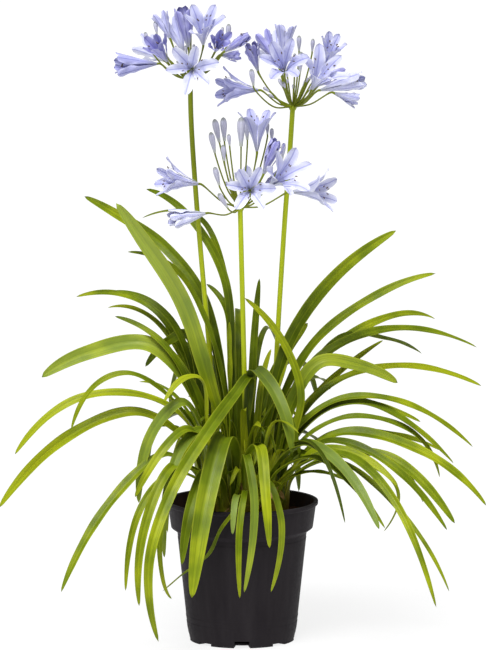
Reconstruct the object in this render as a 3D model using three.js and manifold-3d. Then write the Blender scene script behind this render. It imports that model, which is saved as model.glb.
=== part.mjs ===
// An agapanthus (African lily) growing in a round nursery pot: strap leaves in fans round the middle,
// and three bare stems that each carry a head of trumpet flowers and buds.
// Millimetres, +Z up. The origin is the middle of the pot's underside, on the ground.
// Headings are plan angles about the pot's axis: 0 is +X, 90 is +Y (the back), 270 is the front.

import * as THREE from 'three';
import { mergeVertices } from 'three/addons/utils/BufferGeometryUtils.js';
import Module from 'manifold-3d';

const wasm = await Module();
wasm.setup();

const GAP = 0.3; // clearance between pieces that touch
const WELD = 1e-4; // points this close are one point

// ---- driving dimensions -----------------------------------------------------------------------------

const POT = {
  height: 162,
  wall: 2,
  sides: 32,
  lipRadius: 87.5,
  lipHeight: 5,
  lipUnderside: 1,
  bandTopRadius: 85,
  bandBottomRadius: 81.5,
  bandBottom: 131,
  shoulderRadius: 74.5,
  shoulder: 126,
  bodyBottomRadius: 63,
  bodyBottom: 15,
  baseRadius: 60.5,
  footHeight: 2.5,
  padInner: 46,
  pads: 8,
  padAngle: 27,
  firstPad: 22.5,
  notchHeight: 8,
  notchWidth: 16,
  notchInner: 55.5,
  notchOuter: 65,
};

const SOIL = { edge: 145, middle: 150, mound: [1, 0.6], holeTop: 160 };

const NECK = { bottom: 118, top: 166, length: 10, layer: 2.3, margin: 0.9, taper: 0.86, sides: 8 };

const LEAF = {
  ringEvery: 62,
  fewestRings: 5,
  mostRings: 8,
  lastRing: 0.95,
  thickness: 1.9,
  channel: 0.11,
  rootHeight: 153,
  rootWidth: 0.6,
  fullWidthAt: 0.42,
  tipPower: 5,
  turnedAt: 0.5, // share of the blade by which its upper side has turned
  rootSpread: 0.3, // mm sideways in the neck for each degree off the fan's heading
  mostSpread: 20, // degrees
  sway: 5, // degrees
  edgeOffset: 12, // degrees off the fan's heading beyond which a blade is at the fan's edge
};

const STEM = { radius: 2.9, sides: 7, steps: 8, bottom: 112, hubRadius: 4.6, hubSides: 6, hubRings: 3 };

const STALK = { radius: 0.95, sides: 3, steps: 2, root: 0.6, rise: 0.5, sag: 0.08, drop: 0.11, neck: 4 };

// A petal's middle line, as [radius, distance along the flower] from the throat to the tip, for a closed
// flower and for a wide open one of unit length, and the petal's width on the line's two inner points.
const BLOOM = {
  baseRadius: 1.6,
  petals: 6,
  blade: 1.2,
  heart: 0.6, // depth of the throat's floor, as a share of the tube
  closed: [[0.11, 0.3], [0.13, 0.55], [0.1, 0.8], [0.04, 1]],
  open: [[0.11, 0.3], [0.24, 0.56], [0.42, 0.76], [0.6, 0.86]],
  widths: [0.24, 0.2],
  room: 0.86, // share of a petal's sixth of the flower that it may fill
};

const BUD = { sides: 5, belly: 0.42, root: 0.9, sink: 0.06, slimmest: 0.8, fattest: 4.6, growth: 0.12 };

const COLOUR = {
  pot: 0x2c2b2d,
  soil: 0x3b241b,
  leaf: 0x6f8f2a,
  stem: 0x83a03c,
  bloom: 0xa9b0e6,
  violetBloom: 0x8f92dc,
};

// ---- leaves -----------------------------------------------------------------------------------------
// Each fan stands at a radius and heading. A leaf is [heading, width, roll, path]: the path gives
// [reach from the pot's axis, height] from the first rise to the tip, which lies on the heading, and roll
// turns the upper side of the blade to the front, in degrees.

const OUTER_RADIUS = 42;
const INNER_RADIUS = 14;

const FANS = [
  {
    name: 'leaf_fan_right', radius: OUTER_RADIUS, heading: 0,
    leaves: [
      [-14, 13, 25, [[60, 190], [125, 218], [175, 214], [250, 145]]],
      [-10, 7, 20, [[58, 200], [125, 226], [180, 208], [210, 165]]],
      [-6, 15, 30, [[60, 200], [115, 240], [210, 218], [281, 160]]],
      [0, 15, 20, [[58, 225], [105, 268], [150, 270], [243, 204]]],
      [4, 8, 25, [[60, 220], [120, 258], [195, 240], [228, 185]]],
      [8, 10, 25, [[58, 235], [110, 276], [180, 274], [269, 217]]],
      [11, 8, 25, [[60, 240], [120, 270], [210, 246]]],
      [14, 17, 35, [[56, 265], [90, 318], [135, 314], [185, 291]]],
      [17, 9, 20, [[60, 195], [100, 232], [180, 230], [240, 208]]],
      [-8, 9, 70, [[60, 240], [68, 290], [44, 350], [3, 396]]],
    ],
  },
  {
    name: 'leaf_fan_right_back', radius: OUTER_RADIUS, heading: 40,
    leaves: [
      [23, 10, 20, [[58, 220], [110, 285], [200, 304], [303, 276]]],
      [27, 13, 25, [[58, 250], [105, 317], [200, 345], [308, 318]]],
      [34, 11, 25, [[56, 215], [95, 264], [150, 305], [198, 331]]],
      [38, 12, 25, [[58, 225], [130, 315], [230, 355], [288, 346]]],
      [45, 8, 20, [[56, 240], [150, 335], [225, 327], [300, 300]]],
      [54, 14, 10, [[56, 230], [110, 280], [190, 250], [235, 180]]],
      [50, 12, 15, [[54, 200], [100, 235], [165, 215], [200, 140]]],
    ],
  },
  {
    name: 'leaf_fan_right_front', radius: OUTER_RADIUS, heading: 320,
    leaves: [
      [-22, 13, 30, [[58, 190], [108, 237], [175, 222], [251, 143]]],
      [-26, 6, 20, [[60, 200], [140, 222], [195, 190], [180, 139]]],
      [-30, 13, 30, [[56, 190], [103, 229], [150, 226], [204, 195]]],
      [-35, 6, 20, [[56, 182], [100, 205], [153, 196]]],
      [-40, 9, 25, [[60, 185], [140, 222], [246, 166], [303, 91]]],
      [-46, 14, 25, [[58, 190], [150, 232], [231, 199], [312, 79]]],
      [-48, 7, 20, [[58, 195], [130, 228], [195, 205], [240, 160]]],
      [-51, 14, 20, [[56, 200], [120, 242], [180, 222], [244, 161]]],
      [-58, 10, 15, [[54, 200], [110, 245], [161, 236], [218, 167]]],
    ],
  },
  {
    name: 'leaf_fan_left', radius: OUTER_RADIUS, heading: 200,
    leaves: [
      [184, 15, 30, [[62, 225], [120, 265], [200, 238], [279, 156]]],
      [190, 11, 25, [[58, 245], [107, 282], [190, 283], [263, 222]]],
      [197, 8, 25, [[60, 250], [133, 315], [172, 305], [203, 253]]],
      [208, 14, 25, [[54, 240], [80, 281], [115, 250], [133, 169]]],
      [214, 13, 20, [[56, 190], [100, 222], [173, 175], [246, 80]]],
      [215, 10, 10, [[48, 255], [56, 306], [76, 309], [108, 285]]],
    ],
  },
  {
    name: 'leaf_fan_left_back', radius: OUTER_RADIUS, heading: 160,
    leaves: [
      [175, 17, 25, [[50, 265], [106, 338], [180, 328], [231, 301]]],
      [171, 6, 20, [[54, 245], [85, 288], [120, 296]]],
      [167, 8, 20, [[52, 265], [90, 340], [150, 370]]],
      [162, 14, 55, [[50, 300], [66, 351], [88, 343], [117, 311]]],
      [158, 11, 20, [[52, 280], [90, 372], [159, 396]]],
      [152, 10, 25, [[52, 270], [107, 370], [160, 390], [218, 383]]],
      [146, 8, 20, [[52, 260], [100, 350], [142, 372], [188, 370]]],
    ],
  },
  {
    name: 'leaf_fan_left_front', radius: OUTER_RADIUS, heading: 240,
    leaves: [
      [224, 11, 20, [[56, 225], [95, 255], [132, 235], [168, 185]]],
      [228, 9, 20, [[58, 180], [117, 208], [175, 175], [196, 83]]],
      [232, 12, 20, [[58, 190], [123, 217], [180, 150], [188, 66]]],
      [237, 7, 15, [[58, 190], [125, 212], [170, 150], [165, 95], [140, 68]]],
      [234, 12, 20, [[44, 225], [70, 252], [108, 233], [140, 188], [153, 154]]],
      [241, 15, 20, [[10, 250], [16, 294], [50, 282], [118, 247], [173, 194], [215, 120], [198, 30]]],
      [244, 6, 0, [[54, 172], [88, 180], [121, 115]]],
      [246, 11, 15, [[54, 185], [100, 208], [149, 174], [166, 114]]],
      [252, 24, 15, [[46, 222], [76, 246], [134, 190], [182, 80]]],
    ],
  },
  {
    name: 'leaf_fan_front', radius: OUTER_RADIUS, heading: 280,
    leaves: [
      [263, 8, 0, [[54, 172], [82, 178], [104, 140]]],
      [267, 8, 0, [[54, 178], [88, 182], [114, 145], [122, 70]]],
      [276, 10, 0, [[52, 205], [80, 226], [116, 175], [129, 78]]],
      [282, 13, 0, [[56, 218], [98, 238], [142, 185], [150, 132]]],
      [289, 8, 0, [[54, 180], [92, 196], [118, 150], [121, 76]]],
    ],
  },
  {
    name: 'leaf_fan_back', radius: OUTER_RADIUS, heading: 80,
    leaves: [
      [63, 13, 0, [[56, 240], [110, 300], [180, 290], [228, 220]]],
      [70, 15, 0, [[54, 220], [100, 260], [160, 225], [195, 140]]],
      [77, 12, 0, [[52, 260], [90, 330], [150, 340], [210, 290]]],
      [90, 11, 0, [[50, 270], [78, 345], [125, 365], [180, 330]]],
      [85, 15, 0, [[56, 210], [110, 245], [165, 200], [190, 110]]],
      [94, 13, 0, [[54, 230], [110, 280], [180, 260], [228, 190]]],
    ],
  },
  {
    name: 'leaf_fan_back_left', radius: OUTER_RADIUS, heading: 120,
    leaves: [
      [105, 14, 0, [[54, 220], [100, 265], [165, 240], [205, 160]]],
      [112, 12, 0, [[56, 245], [110, 310], [175, 305], [228, 240]]],
      [119, 15, 0, [[54, 200], [105, 235], [160, 190], [180, 95]]],
      [127, 12, 0, [[52, 250], [95, 325], [160, 335], [215, 290]]],
      [135, 14, 0, [[56, 215], [110, 260], [180, 240], [235, 165]]],
    ],
  },
  {
    name: 'leaf_fan_inner_left', radius: INNER_RADIUS, heading: 165,
    leaves: [
      [189, 21, 55, [[18, 220], [40, 300], [70, 395], [118, 471], [145, 508]]],
      [140, 14, 40, [[22, 260], [55, 390], [110, 447], [186, 479], [240, 494]]],
      [145, 12, 45, [[13, 300], [22, 420], [75, 489], [135, 512]]],
      [128, 7, 20, [[14, 300], [30, 420], [56, 473], [105, 485], [190, 469]]],
      [183, 8, 30, [[20, 280], [44, 375], [80, 432], [131, 450]]],
      [150, 11, 20, [[14, 260], [15, 345], [19, 383], [47, 409]]],
      [190, 9, 20, [[15, 230], [15, 310], [15, 369]]],
    ],
  },
  {
    name: 'leaf_fan_inner_right', radius: INNER_RADIUS, heading: 40,
    leaves: [
      [7, 15, 45, [[28, 230], [53, 338], [103, 412], [178, 471]]],
      [10, 11, 35, [[30, 230], [85, 339], [165, 397], [226, 419]]],
      [52, 13, 25, [[30, 230], [60, 300], [124, 353]]],
      [80, 11, 0, [[18, 250], [24, 340], [30, 415]]],
      [350, 8, 60, [[17, 230], [24, 305], [34, 338]]],
    ],
  },
  {
    name: 'leaf_fan_inner_front', radius: INNER_RADIUS, heading: 270,
    leaves: [
      [305, 17, 10, [[16, 240], [18, 302], [29, 316], [62, 300], [86, 276], [96, 250]]],
      [325, 9, 20, [[22, 235], [52, 290], [67, 338]]],
    ],
  },
];

// ---- flower heads -----------------------------------------------------------------------------------
// A stem's route goes from its foot to the hub of its head. Blooms and buds are placed from the hub:
// [offset of its base, direction it faces, length], and a bloom adds how open it is, from 0 to 1, and
// its tone.

const PALE = 'bloom';
const VIOLET = 'violetBloom';

const HEADS = [
  {
    name: 'flower_stem_left', bloomName: 'bloom_left',
    route: [[-26, 9, 148], [-37, 13, 330], [-44, 13, 410], [-53, 12, 519], [-58, 12, 600], [-59, 12, 645]],
    blooms: [
      [[3, -36, 17], [-1, -28, 4], 48, 1, PALE],
      [[15, -20, 43], [0, -24, 30], 50, 0.8, PALE],
      [[-2, -8, 39], [-6, -6, 42], 48, 0.3, VIOLET],
      [[-23, 6, 47], [-13, 14, 28], 34, 0.45, PALE],
      [[-26, -24, 24], [-14, -26, 26], 42, 0.5, VIOLET],
      [[-38, -14, 20], [-47, -6, 0], 50, 0.4, PALE],
      [[29, -28, 36], [6, -26, 14], 38, 0.6, VIOLET],
      [[40, -10, 34], [26, -4, 18], 34, 0.05, VIOLET],
      [[-30, 24, 20], [-22, 32, 12], 44, 0.7, PALE],
      [[-8, 20, 30], [-13, 20, 30], 44, 0.5, PALE],
      [[36, 14, 27], [18, 20, -2], 28, 0.3, VIOLET],
    ],
    buds: [
      [[-48, 4, 41], [-1, 0, 4], 14],
      [[-38, 12, 52], [-1, 1, 6], 14],
      [[36, 8, 51], [1, 1, 8], 9],
      [[43, 14, 44], [1, 2, 20], 19],
      [[1, 14, 68], [0, 1, 6], 12],
    ],
  },
  {
    name: 'flower_stem_right', bloomName: 'bloom_right',
    route: [[27, 13, 147], [36, 19, 260], [42, 23, 370], [49, 26, 482], [54, 27, 550], [58, 28, 612]],
    blooms: [
      [[-40, -22, 22], [-48, -12, 4], 50, 0.7, PALE],
      [[-40, -2, 43], [-8, -12, 30], 36, 0.35, VIOLET],
      [[-10, -34, 44], [-1, -26, 14], 50, 0.9, PALE],
      [[-11, 6, 55], [3, 4, 40], 42, 0.45, PALE],
      [[22, -36, 25], [16, -30, 32], 52, 0.9, PALE],
      [[36, -6, 46], [9, -18, 32], 44, 0.65, PALE],
      [[32, -20, 22], [49, -10, 12], 54, 0.3, PALE],
      [[48, 0, 16], [26, 4, -9], 30, 0.4, PALE],
      [[-19, 12, 52], [-15, 18, 25], 40, 0.45, VIOLET],
      [[-14, 30, 44], [-6, 30, 14], 48, 0.8, PALE],
      [[30, 34, 22], [14, 34, 12], 44, 0.6, VIOLET],
    ],
    buds: [
      [[7, -14, 67], [0, -1, 12], 17],
      [[22, -10, 66], [1, -1, 14], 14],
      [[-45, -38, 30], [-2, -3, 15], 19],
      [[2, -28, 56], [0, -1, 6], 9],
      [[8, -26, 44], [1, -2, 22], 23],
    ],
  },
  {
    name: 'flower_stem_middle', bloomName: 'bloom_middle',
    route: [[3, -1, 148], [4, -5, 244], [2, -9, 340], [0, -10, 420], [-1, -10, 460], [-2, -10, 501]],
    blooms: [
      [[-48, -20, 30], [-45, -14, 9], 50, 0.7, PALE],
      [[-40, -28, -3], [-43, -18, -5], 46, 0.3, PALE],
      [[11, -38, 25], [0, -28, 6], 46, 1, PALE],
      [[19, -6, 66], [0, -6, 50], 50, 0.7, PALE],
      [[27, -20, 42], [16, -10, 37], 44, 0.15, VIOLET],
      [[33, -36, 29], [22, -26, 20], 48, 0.85, PALE],
      [[58, -16, 20], [45, -16, 3], 50, 0.7, PALE],
      [[6, 34, 16], [4, 34, 8], 42, 0.7, PALE],
      [[26, 26, 20], [22, 24, 12], 34, 0.3, VIOLET],
    ],
    buds: [
      [[-29, -6, 65], [-3, 0, 15], 23],
      [[-24, 4, 76], [-3, 0, 14], 26],
      [[-18, 8, 77], [-1, 0, 20], 26],
      [[-12, -12, 73], [-1, 0, 12], 13],
      [[-18, -20, 57], [-1, -1, 12], 18],
      [[1, -24, 75], [0, -1, 12], 32],
      [[8, 12, 78], [-1, 0, 20], 24],
      [[36, 4, 77], [0, 0, 1], 14],
      [[31, 8, 84], [0, 0, 1], 13],
      [[-24, -24, 30], [-4, -2, 16], 21],
      [[48, -4, 58], [1, 0, 10], 17],
      [[-15, -30, 5], [-10, -4, 16], 19],
    ],
  },
];

// ---- solids -----------------------------------------------------------------------------------------

const radians = THREE.MathUtils.degToRad;

function solidOf(geometry) {
  const bare = geometry.clone();
  bare.deleteAttribute('normal');
  bare.deleteAttribute('uv');
  const merged = mergeVertices(bare, WELD);
  return new wasm.Manifold(new wasm.Mesh({
    numProp: 3,
    vertProperties: new Float32Array(merged.attributes.position.array),
    triVerts: new Uint32Array(merged.index.array),
  }));
}

function geometryOf(solid) {
  const mesh = solid.getMesh();
  const geometry = new THREE.BufferGeometry();
  geometry.setAttribute('position', new THREE.BufferAttribute(new Float32Array(mesh.vertProperties), 3));
  geometry.setIndex(new THREE.BufferAttribute(new Uint32Array(mesh.triVerts), 1));
  return geometry;
}

// Joins solids that grow into each other, and leaves out any scrap or sealed hollow that joining makes.
function fuse(solids) {
  const joined = solids.reduce((sum, next) => sum.add(next));
  const bodies = joined.decompose();
  return bodies.reduce((best, next) => (next.volume() > best.volume() ? next : best));
}

// A closed body from rings of points, all turning the same way, with flat or pointed ends. The diagonals
// alternate, so that both faces of a blade are split alike.
function loft(rings) {
  const positions = [];
  const index = [];
  const starts = rings.map((ring) => {
    const start = positions.length / 3;
    ring.forEach((point) => positions.push(point.x, point.y, point.z));
    return start;
  });
  for (let r = 0; r + 1 < rings.length; r += 1) {
    const here = rings[r].length;
    const next = rings[r + 1].length;
    for (let k = 0; k < Math.max(here, next); k += 1) {
      const a = starts[r] + (k % here);
      const b = starts[r] + ((k + 1) % here);
      const c = starts[r + 1] + (k % next);
      const d = starts[r + 1] + ((k + 1) % next);
      if (here === 1) index.push(a, d, c);
      else if (next === 1) index.push(a, b, c);
      else if (k % 2 === 0) index.push(a, b, d, a, d, c);
      else index.push(a, b, c, b, d, c);
    }
  }
  const cap = (start, count, facingBack) => {
    for (let k = 1; k + 1 < count; k += 1) {
      index.push(start, start + (facingBack ? k + 1 : k), start + (facingBack ? k : k + 1));
    }
  };
  cap(starts[0], rings[0].length, true);
  cap(starts.at(-1), rings.at(-1).length, false);
  const geometry = new THREE.BufferGeometry();
  geometry.setAttribute('position', new THREE.Float32BufferAttribute(positions, 3));
  geometry.setIndex(index);
  return solidOf(geometry);
}

// ---- pot --------------------------------------------------------------------------------------------

function potOutside() {
  return [
    [POT.baseRadius, POT.footHeight],
    [POT.bodyBottomRadius, POT.bodyBottom],
    [POT.shoulderRadius, POT.shoulder],
    [POT.bandBottomRadius, POT.bandBottom],
    [POT.bandTopRadius, POT.height - POT.lipHeight],
    [POT.lipRadius, POT.height - POT.lipHeight + POT.lipUnderside],
    [POT.lipRadius, POT.height],
  ];
}

function potInside(clearance) {
  const inset = POT.wall + clearance;
  return [
    [POT.baseRadius - inset, POT.footHeight + inset],
    [POT.bodyBottomRadius - inset, POT.bodyBottom],
    [POT.shoulderRadius - inset, POT.shoulder],
    [POT.bandBottomRadius - inset, POT.bandBottom],
    [POT.bandTopRadius - inset, POT.height],
  ];
}

function lathe(profile, sides) {
  const geometry = new THREE.LatheGeometry(profile.map(([r, z]) => new THREE.Vector2(r, z)), sides);
  return solidOf(geometry.rotateX(Math.PI / 2));
}

function ringSector(inner, outer, centre, width, bottom, top) {
  const shape = new THREE.Shape();
  const from = radians(centre - width / 2);
  const to = radians(centre + width / 2);
  shape.absarc(0, 0, outer, from, to, false);
  shape.absarc(0, 0, inner, to, from, true);
  shape.closePath();
  const settings = { depth: top - bottom, bevelEnabled: false, curveSegments: 2 };
  return solidOf(new THREE.ExtrudeGeometry(shape, settings).translate(0, 0, bottom));
}

function pot() {
  const profile = [[0, POT.footHeight], ...potOutside(), ...potInside(0).reverse()];
  profile.push([0, POT.footHeight + POT.wall]);
  let body = lathe(profile, POT.sides);
  for (let k = 0; k < POT.pads; k += 1) {
    const centre = POT.firstPad + (k * 360) / POT.pads;
    const padTop = POT.footHeight + POT.wall / 2;
    body = body.add(ringSector(POT.padInner, POT.baseRadius, centre, POT.padAngle, 0, padTop));
    if (k % 2 === 1) {
      const notch = centre + 180 / POT.pads;
      body = body.subtract(
        ringSector(POT.notchInner, POT.notchOuter, notch, POT.notchWidth, 0, POT.notchHeight),
      );
    }
  }
  return body;
}

// ---- soil -------------------------------------------------------------------------------------------

// A plain upright hole, a little wider than the neck or stem that stands in it.
function hole({ x, y, turn, length, thickness, bottom, sides }) {
  const ring = (z) => ellipseRing({ x, y, turn, length: length + GAP, thickness: thickness + GAP, z, sides });
  return loft([ring(bottom - GAP), ring(SOIL.holeTop)]);
}

function ellipseRing({ x, y, turn, length, thickness, z, sides }) {
  return Array.from({ length: sides }, (_, k) => {
    const angle = (2 * Math.PI * (k + 0.5)) / sides;
    const along = length * Math.cos(angle);
    const across = thickness * Math.sin(angle);
    return new THREE.Vector3(
      x + along * Math.cos(turn) - across * Math.sin(turn),
      y + along * Math.sin(turn) + across * Math.cos(turn),
      z,
    );
  });
}

function soil(holes) {
  const side = potInside(GAP);
  side.pop();
  const rise = (SOIL.edge - POT.bandBottom) / (POT.height - POT.bandBottom);
  const edge = THREE.MathUtils.lerp(POT.bandBottomRadius, POT.bandTopRadius, rise) - POT.wall - GAP;
  const top = SOIL.mound.map((share) => (
    [edge * share, SOIL.middle + (SOIL.edge - SOIL.middle) * share ** 2]));
  const profile = [[0, POT.footHeight + POT.wall + GAP], ...side, ...top, [0, SOIL.middle]];
  return holes.reduce((body, next) => body.subtract(hole(next)), lathe(profile, POT.sides));
}

// ---- leaf fans --------------------------------------------------------------------------------------

function smooth(from, to, value) {
  return THREE.MathUtils.smoothstep(value, from, to);
}

// One strap blade: a shallow channel in section, narrow at its root, widest past the middle of its rise
// and drawn in to a point.
function leaf(root, [heading, width, roll, path], sway) {
  const furthest = Math.max(...path.map(([reach]) => reach));
  const points = path.map(([reach, height]) => {
    const turned = radians(heading - sway * (1 - (reach / furthest) ** 2));
    return new THREE.Vector3(reach * Math.cos(turned), reach * Math.sin(turned), height);
  });
  const angle = radians(heading);
  const curve = new THREE.CatmullRomCurve3([root, ...points], false, 'centripetal');
  const level = new THREE.Vector3(-Math.sin(angle), Math.cos(angle), 0);
  const towardsFront = radians(roll) * Math.sign(Math.cos(angle));
  const wanted = Math.round(curve.getLength() / LEAF.ringEvery);
  const count = THREE.MathUtils.clamp(wanted, LEAF.fewestRings, LEAF.mostRings);
  const rings = [];
  for (let step = 0; step < count; step += 1) {
    const t = (LEAF.lastRing * step) / (count - 1);
    const centre = curve.getPointAt(t);
    const along = curve.getTangentAt(t);
    const side = level.clone().addScaledVector(along, -level.dot(along)).normalize();
    side.applyAxisAngle(along, towardsFront * smooth(0, LEAF.turnedAt, t));
    const face = along.clone().cross(side);
    const rootShare = LEAF.rootWidth + (1 - LEAF.rootWidth) * smooth(0, LEAF.fullWidthAt, t);
    const half = (width / 2) * rootShare * Math.sqrt(1 - t ** LEAF.tipPower);
    const lift = 2 * half * LEAF.channel;
    rings.push([
      centre.clone().addScaledVector(side, half).addScaledVector(face, lift),
      centre.clone().addScaledVector(face, LEAF.thickness / 2),
      centre.clone().addScaledVector(side, -half).addScaledVector(face, lift),
      centre.clone().addScaledVector(face, -LEAF.thickness / 2),
    ]);
  }
  rings.push([curve.getPointAt(1)]);
  return loft(rings);
}

function neckOf(fan) {
  const angle = radians(fan.heading);
  return {
    ...NECK,
    x: fan.radius * Math.cos(angle),
    y: fan.radius * Math.sin(angle),
    turn: angle + Math.PI / 2,
    thickness: (fan.leaves.length * NECK.layer) / 2 + NECK.margin,
  };
}

// How far a blade swings sideways on its way to its heading, in degrees: blades at the edges of a fan
// set off nearer its middle, and the others from either side in turn.
function swayOf(offset, layer) {
  if (Math.abs(offset) > LEAF.edgeOffset) return Math.sign(offset) * LEAF.sway;
  return LEAF.sway * ((layer % 3) - 1);
}

// The blades lie on each other in the neck as in a leek, and those that arch lowest are outermost.
function leafFan(fan) {
  const neck = neckOf(fan);
  const ring = (z, share) => ellipseRing({
    ...neck, length: neck.length * share, thickness: neck.thickness * share, z,
  });
  const body = loft([ring(NECK.bottom, 1), ring(SOIL.middle, 1), ring(NECK.top, NECK.taper)]);
  const peak = ([, , , path]) => Math.max(...path.map(([, height]) => height));
  const layers = [...fan.leaves].sort((one, other) => peak(other) - peak(one));
  const blades = layers.map((row, layer) => {
    const offset = THREE.MathUtils.euclideanModulo(row[0] - fan.heading + 180, 360) - 180;
    const sideways = LEAF.rootSpread * THREE.MathUtils.clamp(offset, -LEAF.mostSpread, LEAF.mostSpread);
    const outwards = (layer - (layers.length - 1) / 2) * NECK.layer;
    const root = new THREE.Vector3(
      neck.x + sideways * Math.cos(neck.turn) + outwards * Math.sin(neck.turn),
      neck.y + sideways * Math.sin(neck.turn) - outwards * Math.cos(neck.turn),
      LEAF.rootHeight,
    );
    return leaf(root, row, swayOf(offset, layer));
  });
  return fuse([body, ...blades]);
}

// ---- flower stems -----------------------------------------------------------------------------------

function tube(points, radius, sides, steps) {
  const section = new THREE.Shape();
  for (let k = 0; k < sides; k += 1) {
    const angle = (2 * Math.PI * k) / sides;
    section[k === 0 ? 'moveTo' : 'lineTo'](radius * Math.cos(angle), radius * Math.sin(angle));
  }
  section.closePath();
  const extrudePath = new THREE.CatmullRomCurve3(points, false, 'centripetal');
  return solidOf(new THREE.ExtrudeGeometry(section, { steps, extrudePath, bevelEnabled: false }));
}

const vector = ([x, y, z]) => new THREE.Vector3(x, y, z);

function stemFoot(head) {
  const [x, y] = head.route[0];
  const clear = STEM.radius / Math.cos(Math.PI / STEM.sides);
  return { x, y, turn: 0, length: clear, thickness: clear, bottom: STEM.bottom, sides: STEM.sides };
}

// A stalk leaves the hub low and bends up to meet the flower's base in line with it.
function stalk(hub, base, axis) {
  const start = hub.clone().lerp(base, (STALK.root * STEM.hubRadius) / hub.distanceTo(base));
  const middle = hub.clone().lerp(base, STALK.rise);
  middle.addScaledVector(axis, -hub.distanceTo(base) * STALK.sag);
  middle.z -= hub.distanceTo(base) * STALK.drop;
  const neck = base.clone().addScaledVector(axis, -STALK.neck);
  return tube([start, middle, neck, base], STALK.radius, STALK.sides, STALK.steps);
}

function bud(base, axis, length) {
  const along = axis.clone().normalize();
  const radius = Math.min(BUD.fattest, BUD.slimmest + length * BUD.growth);
  const across = new THREE.Vector3(along.z, 0, -along.x).normalize();
  const other = along.clone().cross(across);
  const ring = (share, size) => Array.from({ length: BUD.sides }, (_, k) => {
    const angle = (2 * Math.PI * k) / BUD.sides;
    return base.clone().addScaledVector(along, length * share)
      .addScaledVector(across, size * Math.cos(angle)).addScaledVector(other, size * Math.sin(angle));
  });
  const tip = base.clone().addScaledVector(along, length);
  return loft([ring(-BUD.sink, BUD.root), ring(BUD.belly, radius), [tip]]);
}

function flowerStem(head) {
  const [foot, ...rest] = head.route.map(vector);
  const buried = [STEM.bottom, SOIL.edge - STEM.radius, SOIL.middle + 2 * STEM.radius];
  const straight = buried.map((z) => foot.clone().setZ(z));
  const scape = tube([...straight, ...rest], STEM.radius, STEM.sides, STEM.steps + buried.length);
  const hub = rest.at(-1);
  const receptacle = new THREE.SphereGeometry(STEM.hubRadius, STEM.hubSides, STEM.hubRings);
  receptacle.rotateX(Math.PI / 2).translate(hub.x, hub.y, hub.z);
  const pieces = [scape, solidOf(receptacle)];
  head.blooms.forEach(([offset, axis]) => {
    const base = hub.clone().add(vector(offset));
    const back = vector(axis).normalize();
    pieces.push(stalk(hub, base.addScaledVector(back, -GAP), back));
  });
  head.buds.forEach(([offset, axis, length]) => {
    const base = hub.clone().add(vector(offset));
    pieces.push(stalk(hub, base, vector(axis).normalize()), bud(base, vector(axis), length));
  });
  return fuse(pieces);
}

// ---- blooms -----------------------------------------------------------------------------------------

function bloom(hub, [offset, axis, length, openness]) {
  const along = vector(axis).normalize();
  const base = hub.clone().add(vector(offset));
  const across = new THREE.Vector3(along.z, 0, -along.x).normalize();
  const other = along.clone().cross(across);
  const at = (radius, distance, angle) => base.clone().addScaledVector(along, distance)
    .addScaledVector(across, radius * Math.cos(angle)).addScaledVector(other, radius * Math.sin(angle));
  const positions = [];
  const index = [];
  const add = (point) => positions.push(point.x, point.y, point.z) / 3 - 1;
  const turn = (2 * Math.PI) / BLOOM.petals;
  const line = BLOOM.closed.map(([radius, distance], row) => [
    length * THREE.MathUtils.lerp(radius, BLOOM.open[row][0], openness),
    length * THREE.MathUtils.lerp(distance, BLOOM.open[row][1], openness),
  ]);
  const [throatRadius, throat] = line[0];
  const ringOf = (radius, distance, shift) => Array.from({ length: BLOOM.petals }, (_, k) => (
    add(at(radius, distance, turn * (k + shift)))));
  const foot = ringOf(BLOOM.baseRadius, 0, 0);
  const notches = ringOf(throatRadius, throat, -0.5);
  const heart = add(at(0, throat * BLOOM.heart, 0));
  for (let k = 1; k + 1 < BLOOM.petals; k += 1) index.push(foot[0], foot[k + 1], foot[k]);
  for (let k = 0; k < BLOOM.petals; k += 1) {
    const angle = turn * k;
    const nextFoot = foot[(k + 1) % BLOOM.petals];
    let row = {
      left: notches[k],
      outer: add(at(throatRadius, throat, angle)),
      inner: add(at(throatRadius - BLOOM.blade, throat, angle)),
      right: notches[(k + 1) % BLOOM.petals],
    };
    index.push(foot[k], row.outer, row.left, foot[k], row.right, row.outer, foot[k], nextFoot, row.right);
    index.push(heart, row.left, row.inner, heart, row.inner, row.right);
    for (let step = 1; step < line.length - 1; step += 1) {
      const [radius, distance] = line[step];
      const room = radius * Math.tan(turn / 2) * BLOOM.room;
      const half = Math.min(room, (length * BLOOM.widths[step - 1]) / 2);
      const spread = Math.atan2(half, radius);
      const side = Math.hypot(radius, half) - BLOOM.blade / 2;
      const next = {
        left: add(at(side, distance, angle - spread)),
        outer: add(at(radius, distance, angle)),
        inner: add(at(radius - BLOOM.blade, distance + BLOOM.blade / 2, angle)),
        right: add(at(side, distance, angle + spread)),
      };
      index.push(row.left, row.outer, next.outer, row.left, next.outer, next.left);
      index.push(row.outer, row.right, next.outer, row.right, next.right, next.outer);
      index.push(row.inner, row.left, next.inner, row.left, next.left, next.inner);
      index.push(row.right, row.inner, next.inner, row.right, next.inner, next.right);
      row = next;
    }
    const tip = add(at(...line.at(-1), angle));
    index.push(row.left, row.outer, tip, row.outer, row.right, tip);
    index.push(row.inner, row.left, tip, row.right, row.inner, tip);
  }
  const geometry = new THREE.BufferGeometry();
  geometry.setAttribute('position', new THREE.Float32BufferAttribute(positions, 3));
  geometry.setIndex(index);
  return solidOf(geometry);
}

// ---- assembly ---------------------------------------------------------------------------------------

const plant = new THREE.Group();

function place(name, solid, color, roughness) {
  const material = new THREE.MeshStandardMaterial({ color, roughness, metalness: 0, side: THREE.DoubleSide });
  const mesh = new THREE.Mesh(geometryOf(solid), material);
  mesh.name = name;
  plant.add(mesh);
}

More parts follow.
